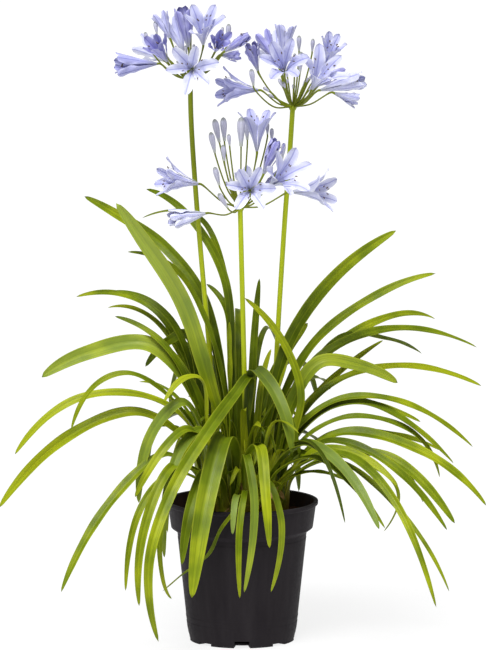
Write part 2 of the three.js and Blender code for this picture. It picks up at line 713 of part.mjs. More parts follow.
place('pot', pot(), COLOUR.pot, 0.5);
place('soil', soil([...FANS.map(neckOf), ...HEADS.map(stemFoot)]), COLOUR.soil, 0.95);
FANS.forEach((fan) => place(fan.name, leafFan(fan), COLOUR.leaf, 0.5));
HEADS.forEach((head) => {
  const hub = vector(head.route.at(-1));
  place(head.name, flowerStem(head), COLOUR.stem, 0.55);
  head.blooms.forEach((row, k) => {
    const number = String(k + 1).padStart(2, '0');
    place(`${head.bloomName}_${number}`, bloom(hub, row), COLOUR[row[4]], 0.6);
  });
});

export default plant;
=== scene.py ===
"""An agapanthus in its nursery pot, dressed around its solids.

Leaves, flower stems and blooms follow the same paths as the solids and replace them with finer pieces:
channelled blades with fine ribs, trumpet flowers with striped petals, filaments and anthers, rounded
buds, crumbly compost and a moulded pot. The tables give lengths in millimetres and angles in degrees,
as a grower measures. Everything that is built is in metres.
"""

import functools
import logging
import math
import random
from collections.abc import Sequence
from dataclasses import dataclass
from enum import Enum

import bmesh
import bpy
from mathutils import Matrix, Vector, noise


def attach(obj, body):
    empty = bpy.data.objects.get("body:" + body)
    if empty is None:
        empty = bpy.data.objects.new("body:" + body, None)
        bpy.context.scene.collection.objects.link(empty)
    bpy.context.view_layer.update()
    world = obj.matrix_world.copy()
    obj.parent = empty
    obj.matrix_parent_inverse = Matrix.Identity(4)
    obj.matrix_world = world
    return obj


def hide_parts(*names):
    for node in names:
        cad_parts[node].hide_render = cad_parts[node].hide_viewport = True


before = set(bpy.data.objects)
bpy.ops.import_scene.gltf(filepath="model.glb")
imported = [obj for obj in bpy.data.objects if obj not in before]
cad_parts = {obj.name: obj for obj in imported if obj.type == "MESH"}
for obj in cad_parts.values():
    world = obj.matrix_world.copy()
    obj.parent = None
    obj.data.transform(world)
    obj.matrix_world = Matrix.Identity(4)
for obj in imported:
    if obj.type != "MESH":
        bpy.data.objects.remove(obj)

log = logging.getLogger("agapanthus")

MM = 0.001
BODY = "root"

Socket = bpy.types.NodeSocket
Node = bpy.types.Node
Mesh = bpy.types.Mesh
Thing = bpy.types.Object
Material = bpy.types.Material

Feed = object  # a plain value, a socket, or a node whose first output is meant
Colour = tuple[float, float, float]
Point = tuple[float, float, float]
Pair = tuple[float, float]
Table = tuple[Pair, ...]
Path = tuple[tuple[float, ...], ...]
Ramp = tuple[float, float, float, float]  # a range, and what its low and its high end give


# ---- node trees -------------------------------------------------------------------------------------


class Graph:
    """A node tree that is built line by line, with values, sockets and nodes fed in the same way."""

    def __init__(self, tree: bpy.types.NodeTree) -> None:
        """Takes over an empty tree.

        Args:
            tree: a geometry or shader tree
        """
        self.tree = tree

    @staticmethod
    def pick(sockets: Sequence[Socket], key: str | int) -> Socket:
        """Finds a socket by number, or the first one in use by name.

        Args:
            sockets: a node's inputs or outputs
            key: the socket's number or name

        Returns:
            the socket
        """
        if isinstance(key, int):
            return sockets[key]
        return next(socket for socket in sockets if socket.name == key and socket.enabled)

    def feed(self, socket: Socket, value: Feed) -> None:
        """Links a socket or node to an input, or sets the input's own value.

        Args:
            socket: the input
            value: a plain value, a socket, or a node whose first output is meant
        """
        if isinstance(value, Node):
            value = next(out for out in value.outputs if out.enabled)
        if isinstance(value, Socket):
            self.tree.links.new(value, socket)
        else:
            socket.default_value = value

    def node(self, kind: str, feeds: dict[str | int, Feed] | None = None, **settings: object) -> Node:
        """Adds a node.

        Args:
            kind: the node's type
            feeds: what goes into its inputs, by name or number
            settings: its properties

        Returns:
            the node
        """
        made = self.tree.nodes.new(kind)
        for name, value in settings.items():
            setattr(made, name, value)
        for key, value in (feeds or {}).items():
            self.feed(self.pick(made.inputs, key), value)
        return made

    def maths(self, operation: str, *values: Feed) -> Socket:
        """Adds a Math node and returns its result."""
        return self.node("ShaderNodeMath", dict(enumerate(values)), operation=operation).outputs[0]

    def product(self, *values: Feed) -> Socket:
        """Returns the product of several numbers."""
        return functools.reduce(functools.partial(self.maths, "MULTIPLY"), values)

    def total(self, *values: Feed) -> Socket:
        """Returns the sum of several numbers."""
        return functools.reduce(functools.partial(self.maths, "ADD"), values)

    def vector(self, operation: str, *values: Feed) -> Socket:
        """Adds a Vector Math node and returns its result."""
        made = self.node("ShaderNodeVectorMath", dict(enumerate(values)), operation=operation)
        return next(out for out in made.outputs if out.enabled)

    def scaled(self, vector: Feed, factor: Feed) -> Socket:
        """Returns a vector times a number."""
        made = self.node("ShaderNodeVectorMath", {0: vector, "Scale": factor}, operation="SCALE")
        return made.outputs["Vector"]

    def moved(self, start: Feed, *steps: tuple[Feed, Feed]) -> Socket:
        """Returns a point that goes from a start by several vectors, each times a number.

        Args:
            start: where it starts
            steps: each vector, with its number

        Returns:
            the point
        """
        for direction, distance in steps:
            start = self.vector("ADD", start, self.scaled(direction, distance))
        return start

    def combined(self, x: Feed, y: Feed, z: Feed) -> Socket:
        """Returns a vector made of three numbers."""
        return self.node("ShaderNodeCombineXYZ", {"X": x, "Y": y, "Z": z}).outputs[0]

    def parts(self, vector: Feed) -> tuple[Socket, ...]:
        """Returns a vector's three numbers."""
        return tuple(self.node("ShaderNodeSeparateXYZ", {0: vector}).outputs)

    def ranged(self, value: Feed, low: Feed, high: Feed, start: Feed = 0.0, stop: Feed = 1.0,
               way: str = "LINEAR") -> Socket:
        """Maps a value from one range to another and clamps it there.

        Args:
            value: the number to map
            low: where the result is start
            high: where the result is stop
            start: the result at low
            stop: the result at high
            way: LINEAR or SMOOTHSTEP

        Returns:
            the mapped number
        """
        feeds = {"Value": value, "From Min": low, "From Max": high, "To Min": start, "To Max": stop}
        return self.node("ShaderNodeMapRange", feeds, interpolation_type=way).outputs[0]

    def eased(self, value: Feed, low: Feed, high: Feed, start: Feed = 0.0, stop: Feed = 1.0) -> Socket:
        """Maps a value as ranged does, with a soft start and end."""
        return self.ranged(value, low, high, start, stop, "SMOOTHSTEP")


class Growth(Graph):
    """A geometry tree with named inputs, which ends in real, dressed geometry."""

    def __init__(self, name: str) -> None:
        """Starts an empty tree.

        Args:
            name: the tree's name
        """
        super().__init__(bpy.data.node_groups.new(name, "GeometryNodeTree"))
        self.tree.interface.new_socket("Geometry", in_out="OUTPUT", socket_type="NodeSocketGeometry")
        self.entry = self.tree.nodes.new("NodeGroupInput")
        self.ports: dict[str, str] = {}
        self.geometry = self.ask("Geometry", kind="NodeSocketGeometry")

    def ask(self, name: str, default: object = None, kind: str = "NodeSocketFloat") -> Socket:
        """Adds a named input.

        Args:
            name: what the input is called
            default: its value where none is given
            kind: its socket type

        Returns:
            the socket that gives its value
        """
        port = self.tree.interface.new_socket(name, in_out="INPUT", socket_type=kind)
        if default is not None:
            port.default_value = default
        self.ports[name] = port.identifier
        return self.entry.outputs[name]

    def attribute(self, name: str) -> Socket:
        """Returns the number that the geometry holds under a name."""
        return self.node("GeometryNodeInputNamedAttribute", {"Name": name}, data_type="FLOAT").outputs[0]

    def capture(self, geometry: Feed, **fields: Socket) -> tuple[Socket, ...]:
        """Holds fields as they are at this step.

        Args:
            geometry: the geometry that they are read on
            fields: the fields, by any name

        Returns:
            the geometry, and then each field as held
        """
        made = self.tree.nodes.new("GeometryNodeCaptureAttribute")
        for name, value in fields.items():
            made.capture_items.new("VECTOR" if value.type == "VECTOR" else "FLOAT", name)
        self.feed(made.inputs["Geometry"], geometry)
        for name, value in fields.items():
            self.feed(made.inputs[name], value)
        return (made.outputs["Geometry"], *(made.outputs[name] for name in fields))

    def store(self, geometry: Feed, name: str, value: Feed, kind: str = "FLOAT",
              domain: str = "POINT") -> Node:
        """Writes a named attribute for the finish to read."""
        feeds = {"Geometry": geometry, "Name": name, "Value": value}
        return self.node("GeometryNodeStoreNamedAttribute", feeds, data_type=kind, domain=domain)

    def mapped(self, geometry: Feed, u: Feed, v: Feed) -> Node:
        """Writes the UV map that the finishes follow."""
        return self.store(geometry, "UVMap", self.combined(u, v, 0.0), "FLOAT2", "CORNER")

    def share(self) -> Socket:
        """Returns how far along its curve each point is, from 0 to 1."""
        return self.node("GeometryNodeSplineParameter").outputs["Factor"]

    def drawn(self, least: Point, most: Point, **feeds: Feed) -> Node:
        """Draws three numbers for each element, each from its own range."""
        feeds = {"Min": least, "Max": most, **feeds}
        return self.node("FunctionNodeRandomValue", feeds, data_type="FLOAT_VECTOR")

    def curve(self, path: Feed, count: Feed | None = None) -> Node:
        """Makes curves of edges, each with a number of points where one is given.

        Args:
            path: the edges
            count: how many points each curve has, if that is given

        Returns:
            the curves
        """
        made = self.node("GeometryNodeMeshToCurve", {"Mesh": path})
        if count is None:
            return made
        return self.node("GeometryNodeResampleCurve", {"Curve": made, "Count": count}, mode="COUNT")

    def ring(self, sides: Feed, radius: float = 1.0) -> Node:
        """Returns a round profile, with a radius of 1 where a tube or the tree gives the girth."""
        feeds = {"Resolution": sides, "Radius": radius}
        return self.node("GeometryNodeCurvePrimitiveCircle", feeds, mode="RADIUS")

    def tube(self, path: Feed, ring: Feed, girth: Feed = 1.0) -> Node:
        """Wraps curves in closed tubes."""
        feeds = {"Curve": path, "Profile Curve": ring, "Scale": girth, "Fill Caps": True}
        return self.node("GeometryNodeCurveToMesh", feeds)

    def smooth(self, geometry: Feed) -> Node:
        """Shades geometry smooth."""
        return self.node("GeometryNodeSetShadeSmooth", {"Geometry": geometry, "Shade Smooth": True})

    def joined(self, *things: Feed) -> Node:
        """Joins geometry.

        Args:
            things: what is joined, in order

        Returns:
            all of it
        """
        join = self.node("GeometryNodeJoinGeometry")
        for thing in things:
            self.feed(join.inputs[0], thing)
        return join

    def placed(self, geometry: Feed, position: Feed) -> Node:
        """Moves each point of the geometry to its place."""
        return self.node("GeometryNodeSetPosition", {"Geometry": geometry, "Position": position})

    def finish(self, geometry: Feed, *coats: tuple[Feed, Feed]) -> "Growth":
        """Closes the tree.

        Args:
            geometry: what has grown
            coats: each material, with the faces that it goes on

        Returns:
            the tree
        """
        last = self.node("GeometryNodeRealizeInstances", {"Geometry": geometry})
        for material, where in coats:
            feeds = {"Geometry": last, "Material": material, "Selection": where}
            last = self.node("GeometryNodeSetMaterial", feeds)
        self.node("NodeGroupOutput", {"Geometry": last})
        return self

    def grow(self, name: str, mesh: Mesh, **settings: object) -> Mesh:
        """Runs the tree on a mesh.

        Args:
            name: the name of the result
            mesh: what it starts from, which is used up
            settings: values of the named inputs, with _ for a space

        Returns:
            the result as a plain mesh
        """
        seedling = shown(name, mesh)
        modifier = seedling.modifiers.new("growth", "NODES")
        modifier.node_group = self.tree
        for key, value in settings.items():
            modifier[self.ports[key.replace("_", " ")]] = value
        grown = plain_mesh(seedling)
        bpy.data.meshes.remove(mesh)
        return grown


def plain_mesh(thing: Thing) -> Mesh:
    """Turns an object with its modifiers into a plain mesh, and removes the object.

    Args:
        thing: the object

    Returns:
        its mesh as evaluated
    """
    evaluated = thing.evaluated_get(bpy.context.evaluated_depsgraph_get())
    mesh = bpy.data.meshes.new_from_object(evaluated)
    mesh.name = thing.name
    bpy.data.objects.remove(thing)
    return mesh


# ---- paths ------------------------------------------------------------------------------------------


@dataclass
class Strand:
    """A path for a geometry tree, with a number of each kind at each point."""

    points: list[Vector]
    values: dict[str, list[float]]

    @classmethod
    def even(cls, points: list[Vector], **numbers: float) -> "Strand":
        """Makes a strand that has the same numbers all along."""
        return cls(points, {name: [number] * len(points) for name, number in numbers.items()})


def strand_mesh(name: str, strands: Sequence[Strand]) -> Mesh:
    """Lays strands out as the edges of a mesh.

    Args:
        name: the mesh's name
        strands: the paths, which all hold the same kinds of numbers

    Returns:
        the mesh, with the numbers as attributes of its points
    """
    points: list[Vector] = []
    edges: list[tuple[int, int]] = []
    for strand in strands:
        first = len(points)
        points.extend(strand.points)
        edges.extend((k, k + 1) for k in range(first, len(points) - 1))
    mesh = bpy.data.meshes.new(name)
    mesh.from_pydata(points, edges, [])
    for kind in strands[0].values:
        layer = mesh.attributes.new(kind, "FLOAT", "POINT")
        layer.data.foreach_set("value", [number for strand in strands for number in strand.values[kind]])
    return mesh


def smooth_line(points: Sequence[Vector], per_span: int = 14, round_end: bool = False) -> list[Vector]:
    """Runs one smooth curve through points, without loops where they lie unevenly.

    Args:
        points: what it passes through
        per_span: how many steps it takes between two of them
        round_end: whether the last span keeps bending up to its end

    Returns:
        the points of the curve
    """
    padded = [2 * points[0] - points[1], *points, 2 * points[-1] - points[-2]]
    line: list[Vector] = []
    for four in zip(padded, padded[1:], padded[2:], padded[3:]):
        before, start, stop, after = four
        gap = [math.sqrt((b - a).length) for a, b in zip(four, four[1:])]
        leave = (start - before) / gap[0] - (stop - before) / (gap[0] + gap[1]) + (stop - start) / gap[1]
        arrive = (stop - start) / gap[1] - (after - start) / (gap[1] + gap[2]) + (after - stop) / gap[2]
        if round_end and stop is points[-1]:
            arrive = 2 * (stop - start) / gap[1] - leave
        for step in range(per_span):
            s = step / per_span
            line.append(
                (2 * s**3 - 3 * s**2 + 1) * start + (s**3 - 2 * s**2 + s) * gap[1] * leave
                + (3 * s**2 - 2 * s**3) * stop + (s**3 - s**2) * gap[1] * arrive
            )
    return [*line, points[-1].copy()]


def shares(points: Sequence[Vector]) -> list[float]:
    """Works out how far along the whole path each point lies.

    Args:
        points: the path

    Returns:
        a share for each point, from 0 to 1
    """
    lengths = [0.0]
    for a, b in zip(points, points[1:]):
        lengths.append(lengths[-1] + (b - a).length)
    return [length / lengths[-1] for length in lengths]


def around(reach: float, heading: float, height: float) -> Vector:
    """Returns the place at a reach, heading in degrees and height about the pot's axis."""
    angle = math.radians(heading)
    return Vector((reach * math.cos(angle), reach * math.sin(angle), height))


def blend(start: float, stop: float, share: float) -> float:
    """Returns the number that lies a share of the way from start to stop."""
    return start + (stop - start) * share


def along_table(table: Sequence[Pair], place: float) -> float:
    """Reads a number between the rows of a table.

    Args:
        table: rows of (place, number), in order
        place: where to read it

    Returns:
        the number there
    """
    for (low, start), (high, stop) in zip(table, table[1:]):
        if place <= high:
            return blend(start, stop, max(0.0, (place - low) / (high - low)))
    return table[-1][1]


# ---- pieces -----------------------------------------------------------------------------------------


class Slot(Enum):
    """Names of the material slots."""

    POT = "pot"
    SOIL = "soil"
    LEAF = "leaf"
    STEM = "stem"
    PALE_PETAL = "pale_petal"
    VIOLET_PETAL = "violet_petal"


def shown(name: str, data: bpy.types.ID) -> Thing:
    """Puts data in the scene as an object.

    Args:
        name: the object's name
        data: its mesh, light or camera

    Returns:
        the object
    """
    thing = bpy.data.objects.new(name, data)
    bpy.context.scene.collection.objects.link(thing)
    return thing


def settle(name: str, mesh: Mesh, slot: Slot, *nodes: str) -> Thing:
    """Makes a finished piece of a mesh.

    Args:
        name: the piece's name
        mesh: its mesh, in place
        slot: not used
        nodes: the solids that it stands for

    Returns:
        the piece
    """
    piece = shown(name, mesh)
    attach(piece, BODY)
    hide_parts(*nodes)
    log.info("%s: %d faces", name, len(mesh.polygons))
    return piece


def forget(mesh: Mesh, *names: str) -> Mesh:
    """Drops attributes that only the growing needed.

    Args:
        mesh: the mesh
        names: the attributes' names

    Returns:
        the same mesh
    """
    for name in names:
        layer = mesh.attributes.get(name)
        if layer is not None:
            mesh.attributes.remove(layer)
    return mesh


def written(name: str, shape: bmesh.types.BMesh) -> Mesh:
    """Writes a shape to a new mesh and frees it.

    Args:
        name: the mesh's name
        shape: the shape, which is used up

    Returns:
        the mesh
    """
    mesh = bpy.data.meshes.new(name)
    shape.to_mesh(mesh)
    shape.free()
    return mesh


def revolved(name: str, bottom: float, top: float, rings: Sequence[Sequence[Vector]]) -> Mesh:
    """Closes a stack of rings into a body.

    Args:
        name: the mesh's name
        bottom: the height on the axis where the body starts
        top: the height on the axis where it ends
        rings: its rings, all with the same number of points

    Returns:
        the mesh
    """
    shape = bmesh.new()
    first, last = (shape.verts.new((0, 0, height)) for height in (bottom, top))
    stack = [[shape.verts.new(point) for point in ring] for ring in rings]
    sides = len(rings[0])
    for k in range(sides):
        n = (k + 1) % sides
        shape.faces.new((first, stack[0][n], stack[0][k]))
        shape.faces.new((last, stack[-1][k], stack[-1][n]))
        for low, high in zip(stack, stack[1:]):
            shape.faces.new((low[k], low[n], high[n], high[k]))
    return written(name, shape)


def outwards(mesh: Mesh) -> Mesh:
    """Turns the faces of a closed mesh outwards.

    Args:
        mesh: the mesh

    Returns:
        the same mesh
    """
    shape = bmesh.new()
    shape.from_mesh(mesh)
    if shape.calc_volume(signed=True) < 0:
        bmesh.ops.reverse_faces(shape, faces=shape.faces)
        shape.to_mesh(mesh)
    shape.free()
    return mesh


# ---- finishes ---------------------------------------------------------------------------------------


class Paint(Graph):
    """A shader tree around one Principled shader."""

    def __init__(self, name: str, roughness: float, **constants: float | tuple[float, ...]) -> None:
        """Starts a material.

        Args:
            name: the material's name
            roughness: the shader's roughness where nothing drives it
            constants: the shader's other plain values, with _ for a space
        """
        self.material = bpy.data.materials.new(name)
        self.material.use_nodes = True
        super().__init__(self.material.node_tree)
        self.shader = self.tree.nodes["Principled BSDF"]
        for key, value in {"Roughness": roughness, **constants}.items():
            self.shader.inputs[key.replace("_", " ")].default_value = value

    def place(self) -> Socket:
        """Returns Object coordinates."""
        return self.node("ShaderNodeTexCoord").outputs["Object"]

    def chart(self) -> tuple[Socket, ...]:
        """Returns the place across and along the piece's own UV map, from 0 to 1."""
        return self.parts(self.node("ShaderNodeUVMap", uv_map="UVMap"))[:2]

    def held(self, name: str) -> Socket:
        """Returns a number that the piece holds under a name."""
        return self.node("ShaderNodeAttribute", attribute_name=name).outputs["Fac"]

    def noise(self, where: Feed, scale: float, detail: float = 2.0, rough: float = 0.5) -> Socket:
        """Returns a noise from 0 to 1."""
        feeds = {"Vector": where, "Scale": scale, "Detail": detail, "Roughness": rough}
        return self.node("ShaderNodeTexNoise", feeds).outputs[0]

    def waves(self, place: Feed, count: float, way: str = "SINE") -> Socket:
        """Returns a number of waves over a place that goes from 0 to 1."""
        return self.maths(way, self.product(place, math.tau * count))

    def off_middle(self, across: Feed) -> Socket:
        """Returns how far a place across is from the middle, up to 0.5."""
        return self.maths("ABSOLUTE", self.maths("SUBTRACT", across, 0.5))

    def mixed(self, share: Feed, one: Feed, other: Feed, way: str = "MIX") -> Socket:
        """Mixes two colours.

        Args:
            share: how much of the other colour, from 0 to 1
            one: a colour or a socket
            other: a colour or a socket
            way: how they are mixed

        Returns:
            the mixed colour
        """
        colours = [(*c, 1.0) if isinstance(c, tuple) else c for c in (one, other)]
        feeds = {0: share, 6: colours[0], 7: colours[1]}
        return self.node("ShaderNodeMix", feeds, data_type="RGBA", blend_type=way).outputs[2]

    def layered(self, colour: Feed, *layers: tuple[Feed, Colour]) -> Socket:
        """Lays colours over a first one, each by its share.

        Args:
            colour: the first colour
            layers: each share, with its colour

        Returns:
            the mixed colour
        """
        for share, layer in layers:
            colour = self.mixed(share, colour, layer)
        return colour

    def coat(self, colour: Feed, roughness: Feed | None = None, relief: Feed | None = None,
             depth: float = 0.0) -> Material:
        """Feeds the shader and returns the material.

        Args:
            colour: the base colour
            roughness: what drives the roughness, if anything does
            relief: the height of the relief, from 0 to 1, if there is any
            depth: how deep the relief is, in millimetres

        Returns:
            the material
        """
        self.feed(self.shader.inputs["Base Color"], colour)
        if roughness is not None:
            self.feed(self.shader.inputs["Roughness"], roughness)
        if relief is not None:
            feeds = {"Height": relief, "Distance": depth * MM, "Strength": 1.0}
            self.feed(self.shader.inputs["Normal"], self.node("ShaderNodeBump", feeds))
        return self.material


@dataclass(frozen=True)
class LeafFinish:
    """Strap leaves: satin green, ribbed lengthwise, paler at the base and where young.

    The tone goes from 0 for deep green over 0.5 for mid green to 1 for young green. Painted shade
    darkens the crowded middle of the plant, with its reach and heights in metres.
    """

    deep: Colour = (0.042, 0.066, 0.001)
    mid: Colour = (0.145, 0.202, 0.004)
    young: Colour = (0.360, 0.410, 0.010)
    base: Colour = (0.250, 0.290, 0.010)
    # paler edge: partly the margin's own colour, partly a painted glow of light through the thin edge
    edge: Colour = (0.420, 0.455, 0.030)
    sheath: Colour = (0.160, 0.070, 0.022)
    dry: Colour = (0.330, 0.210, 0.070)
    # painted sheen: a grey-green highlight colour for the outer half of some leaves
    painted_sheen_colour: Colour = (0.240, 0.335, 0.085)
    patch_scale: float = 26.0
    patch_tone: Ramp = (0.3, 0.7, -0.27, 0.27)
    # darker low and lighter to the tip: partly yellower tips, partly painted shade low in the clump and
    # painted light on the arching tops
    along_tone: Ramp = (0.3, 0.95, -0.12, 0.18)
    # painted shade: leaves in the crowded middle of the plant are darkened
    core_shade_reach: Ramp = (0.03, 0.10, 1.0, 0.0)
    core_shade_bottom: Ramp = (0.21, 0.30, 0.0, 1.0)
    core_shade_top: Ramp = (0.28, 0.42, 1.0, 0.0)
    core_shade_tone: float = -0.22
    base_share: Ramp = (0.0, 0.22, 0.75, 0.0)
    streak_scale: Pair = (9.0, 1.2)
    streak_share: Ramp = (0.42, 0.62, 0.0, 0.38)
    painted_sheen_along: Ramp = (0.35, 0.7, 0.0, 1.0)
    edge_share: Ramp = (0.40, 0.5, 0.0, 0.45)
    midrib_share: Ramp = (0.0, 0.045, 0.16, 0.0)
    sheath_share: Ramp = (0.02, 0.17, 0.85, 0.0)
    sheath_patches: Ramp = (0.38, 0.6, 0.0, 1.0)
    dry_share: Ramp = (-0.5, -0.3, 1.0, 0.0)
    ribs: float = 15.0
    rib_depth: float = 0.07
    sheen_scale: float = 160.0
    sheen: Ramp = (0.3, 0.7, 0.30, 0.44)

    def material(self) -> Material:
        """Builds the finish.

        Returns:
            the material
        """
        p = Paint("leaf_green", 0.36, Subsurface_Weight=0.08, Subsurface_Scale=0.002,
                  Subsurface_Radius=(0.6, 1.0, 0.15), Specular_IOR_Level=0.14)
        across, along = p.chart()
        own, where, off = p.held("tone"), p.place(), p.off_middle(across)
        patches = p.noise(where, self.patch_scale)
        # the tone along the leaf holds painted shade low down and painted light on the arches, as well as
        # yellower tips
        clouds, age = p.ranged(patches, *self.patch_tone), p.eased(along, *self.along_tone)
        # the tone takes the painted shade of the crowded middle of the plant
        tone = p.total(own, clouds, age, self.painted_core_shade(p, where))
        streak_place = [p.product(*pair) for pair in zip((across, along), self.streak_scale)]
        streak = p.noise(p.combined(*streak_place, tone), 1.0, 3.0)
        stained = p.ranged(patches, *self.sheath_patches)
        colour = p.layered(
            self.deep,
            (p.ranged(tone, 0.0, 0.5), self.mid),
            (p.ranged(tone, 0.5, 1.0), self.young),
            (p.eased(along, *self.base_share), self.base),
            (p.ranged(streak, *self.streak_share), self.deep),
            # painted highlight: grey-green sheen on the outer half of the leaf
            (p.product(p.held("mist"), p.eased(along, *self.painted_sheen_along)), self.painted_sheen_colour),
            # paler edge, partly a painted glow of light through the thin margin
            (p.eased(off, *self.edge_share), self.edge),
            (p.eased(off, *self.midrib_share), self.young),
            (p.product(p.eased(along, *self.sheath_share), stained), self.sheath),
            (p.ranged(own, *self.dry_share), self.dry),
        )
        rib = p.maths("MULTIPLY_ADD", p.waves(across, self.ribs), 0.5, 0.5)
        sheen = p.ranged(p.noise(where, self.sheen_scale), *self.sheen)
        return p.coat(colour, sheen, rib, self.rib_depth)

    def painted_core_shade(self, p: Paint, where: Feed) -> Socket:
        """Paints shade into the crowded middle of the plant.

        Args:
            p: the shader tree
            where: the place

        Returns:
            the painted shade that the place takes from the tone
        """
        x, y, z = p.parts(where)
        reach = p.vector("LENGTH", p.combined(x, y, 0.0))
        return p.product(p.eased(reach, *self.core_shade_reach), p.eased(z, *self.core_shade_bottom),
                         p.eased(z, *self.core_shade_top), self.core_shade_tone)


@dataclass(frozen=True)
class StemFinish:
    """Flower stems and stalks: smooth green, yellower low down, with painted shade high on the stem left of
    the axis and on the thin stalks among the flowers.

    Ramps over a place or a girth go by metres.
    """

    low: Colour = (0.490, 0.570, 0.008)
    high: Colour = (0.330, 0.400, 0.008)
    # painted shade for the upper part of the stem left of the axis
    shade: Colour = (0.100, 0.130, 0.004)
    # painted shade: darker green for the thin stalks among the flowers
    stalk: Colour = (0.120, 0.140, 0.010)
    streak: Colour = (0.110, 0.150, 0.006)
    high_share: Ramp = (0.34, 0.62, 0.0, 1.0)
    shade_aside: Ramp = (-0.035, -0.02, 0.6, 0.0)
    shade_above: Ramp = (0.42, 0.5, 0.0, 1.0)
    streak_scale: Point = (300.0, 300.0, 9.0)
    streak_share: Ramp = (0.45, 0.7, 0.0, 0.4)
    stalk_share: Ramp = (1.1 * MM, 2.2 * MM, 0.75, 0.0)
    grain_depth: float = 0.08

    def material(self) -> Material:
        """Builds the finish.

        Returns:
            the material
        """
        p = Paint("stem_green", 0.38, Specular_IOR_Level=0.22)
        where = p.place()
        x, _, z = p.parts(where)
        drawn = p.vector("MULTIPLY", where, self.streak_scale)
        colour = p.layered(
            self.low,
            (p.eased(z, *self.high_share), self.high),
            # painted shade: the stem left of the axis is darker above the foliage
            (p.product(p.eased(x, *self.shade_aside), p.eased(z, *self.shade_above)), self.shade),
            (p.ranged(p.noise(drawn, 1.0, 3.0), *self.streak_share), self.streak),
            # painted shade: thin stalks among the flowers are darker
            (p.ranged(p.held("girth"), *self.stalk_share), self.stalk),
        )
        return p.coat(colour, None, p.noise(drawn, 1.6, 3.0), self.grain_depth)


@dataclass(frozen=True)
class PetalFinish:
    """Petals: pale blue with a deeper stripe, almost white in the tube."""

    name: str
    blade: Colour
    edge: Colour
    stripe: Colour
    tube: Colour = (0.56, 0.58, 0.60)
    dusk: Colour = (0.56, 0.56, 0.80)
    edge_share: Ramp = (0.18, 0.5, 0.0, 1.0)
    stripe_across: Ramp = (0.015, 0.085, 1.0, 0.0)
    stripe_along: Ramp = (0.15, 0.5, 0.35, 0.95)
    veins: float = 9.0
    vein_share: Ramp = (0.55, 1.0, 0.0, 0.30)
    vein_inside: Ramp = (0.5, 0.3, 0.0, 1.0)
    vein_depth: float = 0.08
    tube_share: Ramp = (0.05, 0.34, 0.8, 0.0)
    cloud_scale: float = 90.0
    cloud_share: Ramp = (0.3, 0.7, 0.0, 0.22)

    def material(self) -> Material:
        """Builds the finish.

        Returns:
            the material
        """
        p = Paint(self.name, 0.5, Subsurface_Weight=0.25, Subsurface_Scale=0.0025,
                  Subsurface_Radius=(1.0, 1.0, 1.0), Specular_IOR_Level=0.3)
        across, along = p.chart()
        off, vein = p.off_middle(across), p.waves(across, self.veins)
        stripe = p.product(p.eased(off, *self.stripe_across), p.eased(along, *self.stripe_along))
        lines = p.product(p.ranged(vein, *self.vein_share), p.eased(off, *self.vein_inside))
        colour = p.layered(
            self.blade,
            (p.eased(off, *self.edge_share), self.edge),
            (p.maths("MAXIMUM", stripe, lines), self.stripe),
            (p.eased(along, *self.tube_share), self.tube),
            (p.ranged(p.noise(p.place(), self.cloud_scale), *self.cloud_share), self.stripe),
        )
        colour = p.mixed(p.held("tone"), colour, self.dusk, "MULTIPLY")
        return p.coat(colour, None, p.product(vein, 0.5), self.vein_depth)


PALE = PetalFinish("petal_pale", (0.700, 0.715, 0.915), (0.850, 0.865, 0.990), (0.350, 0.360, 0.670))
VIOLET = PetalFinish("petal_violet", (0.370, 0.365, 0.710), (0.545, 0.545, 0.835), (0.200, 0.190, 0.520))


@dataclass(frozen=True)
class BudFinish:
    """Unopened buds: greyish lilac, greener at the tip and the foot."""

    side: Colour = (0.520, 0.520, 0.640)
    seam: Colour = (0.330, 0.330, 0.440)
    tip: Colour = (0.210, 0.230, 0.190)
    foot: Colour = (0.480, 0.510, 0.400)
    seams: float = 6.0
    seam_share: Ramp = (0.6, 1.0, 0.0, 0.7)
    seam_depth: float = 0.1
    foot_share: Ramp = (0.0, 0.3, 0.8, 0.0)
    tip_share: Ramp = (0.80, 0.97, 0.0, 0.85)

    def material(self) -> Material:
        """Builds the finish.

        Returns:
            the material
        """
        p = Paint("bud_lilac", 0.45, Subsurface_Weight=0.15, Subsurface_Scale=0.001,
                  Subsurface_Radius=(1.0, 1.0, 1.0), Specular_IOR_Level=0.3)
        turn, along = p.chart()
        seam = p.waves(turn, self.seams, "COSINE")
        colour = p.layered(
            self.side,
            (p.eased(seam, *self.seam_share), self.seam),
            (p.eased(along, *self.foot_share), self.foot),
            (p.eased(along, *self.tip_share), self.tip),
        )
        return p.coat(colour, None, p.product(seam, 0.5), self.seam_depth)


@dataclass(frozen=True)
class ThreadFinish:
    """Filaments, styles and anthers: one plain living colour with a little grain."""

    name: str
    colour: Colour
    shade: Colour
    grain_scale: float = 900.0
    shade_share: Ramp = (0.35, 0.65, 0.0, 1.0)
    grain_depth: float = 0.1

    def material(self) -> Material:
        """Builds the finish.

        Returns:
            the material
        """
        p = Paint(self.name, 0.55, Specular_IOR_Level=0.3)
        grain = p.noise(p.place(), self.grain_scale)
        colour = p.mixed(p.ranged(grain, *self.shade_share), self.colour, self.shade)
        return p.coat(colour, None, grain, self.grain_depth)


FILAMENT = ThreadFinish("filament", (0.62, 0.63, 0.88), (0.45, 0.45, 0.78))
ANTHER = ThreadFinish("anther", (0.060, 0.045, 0.055), (0.170, 0.110, 0.070))


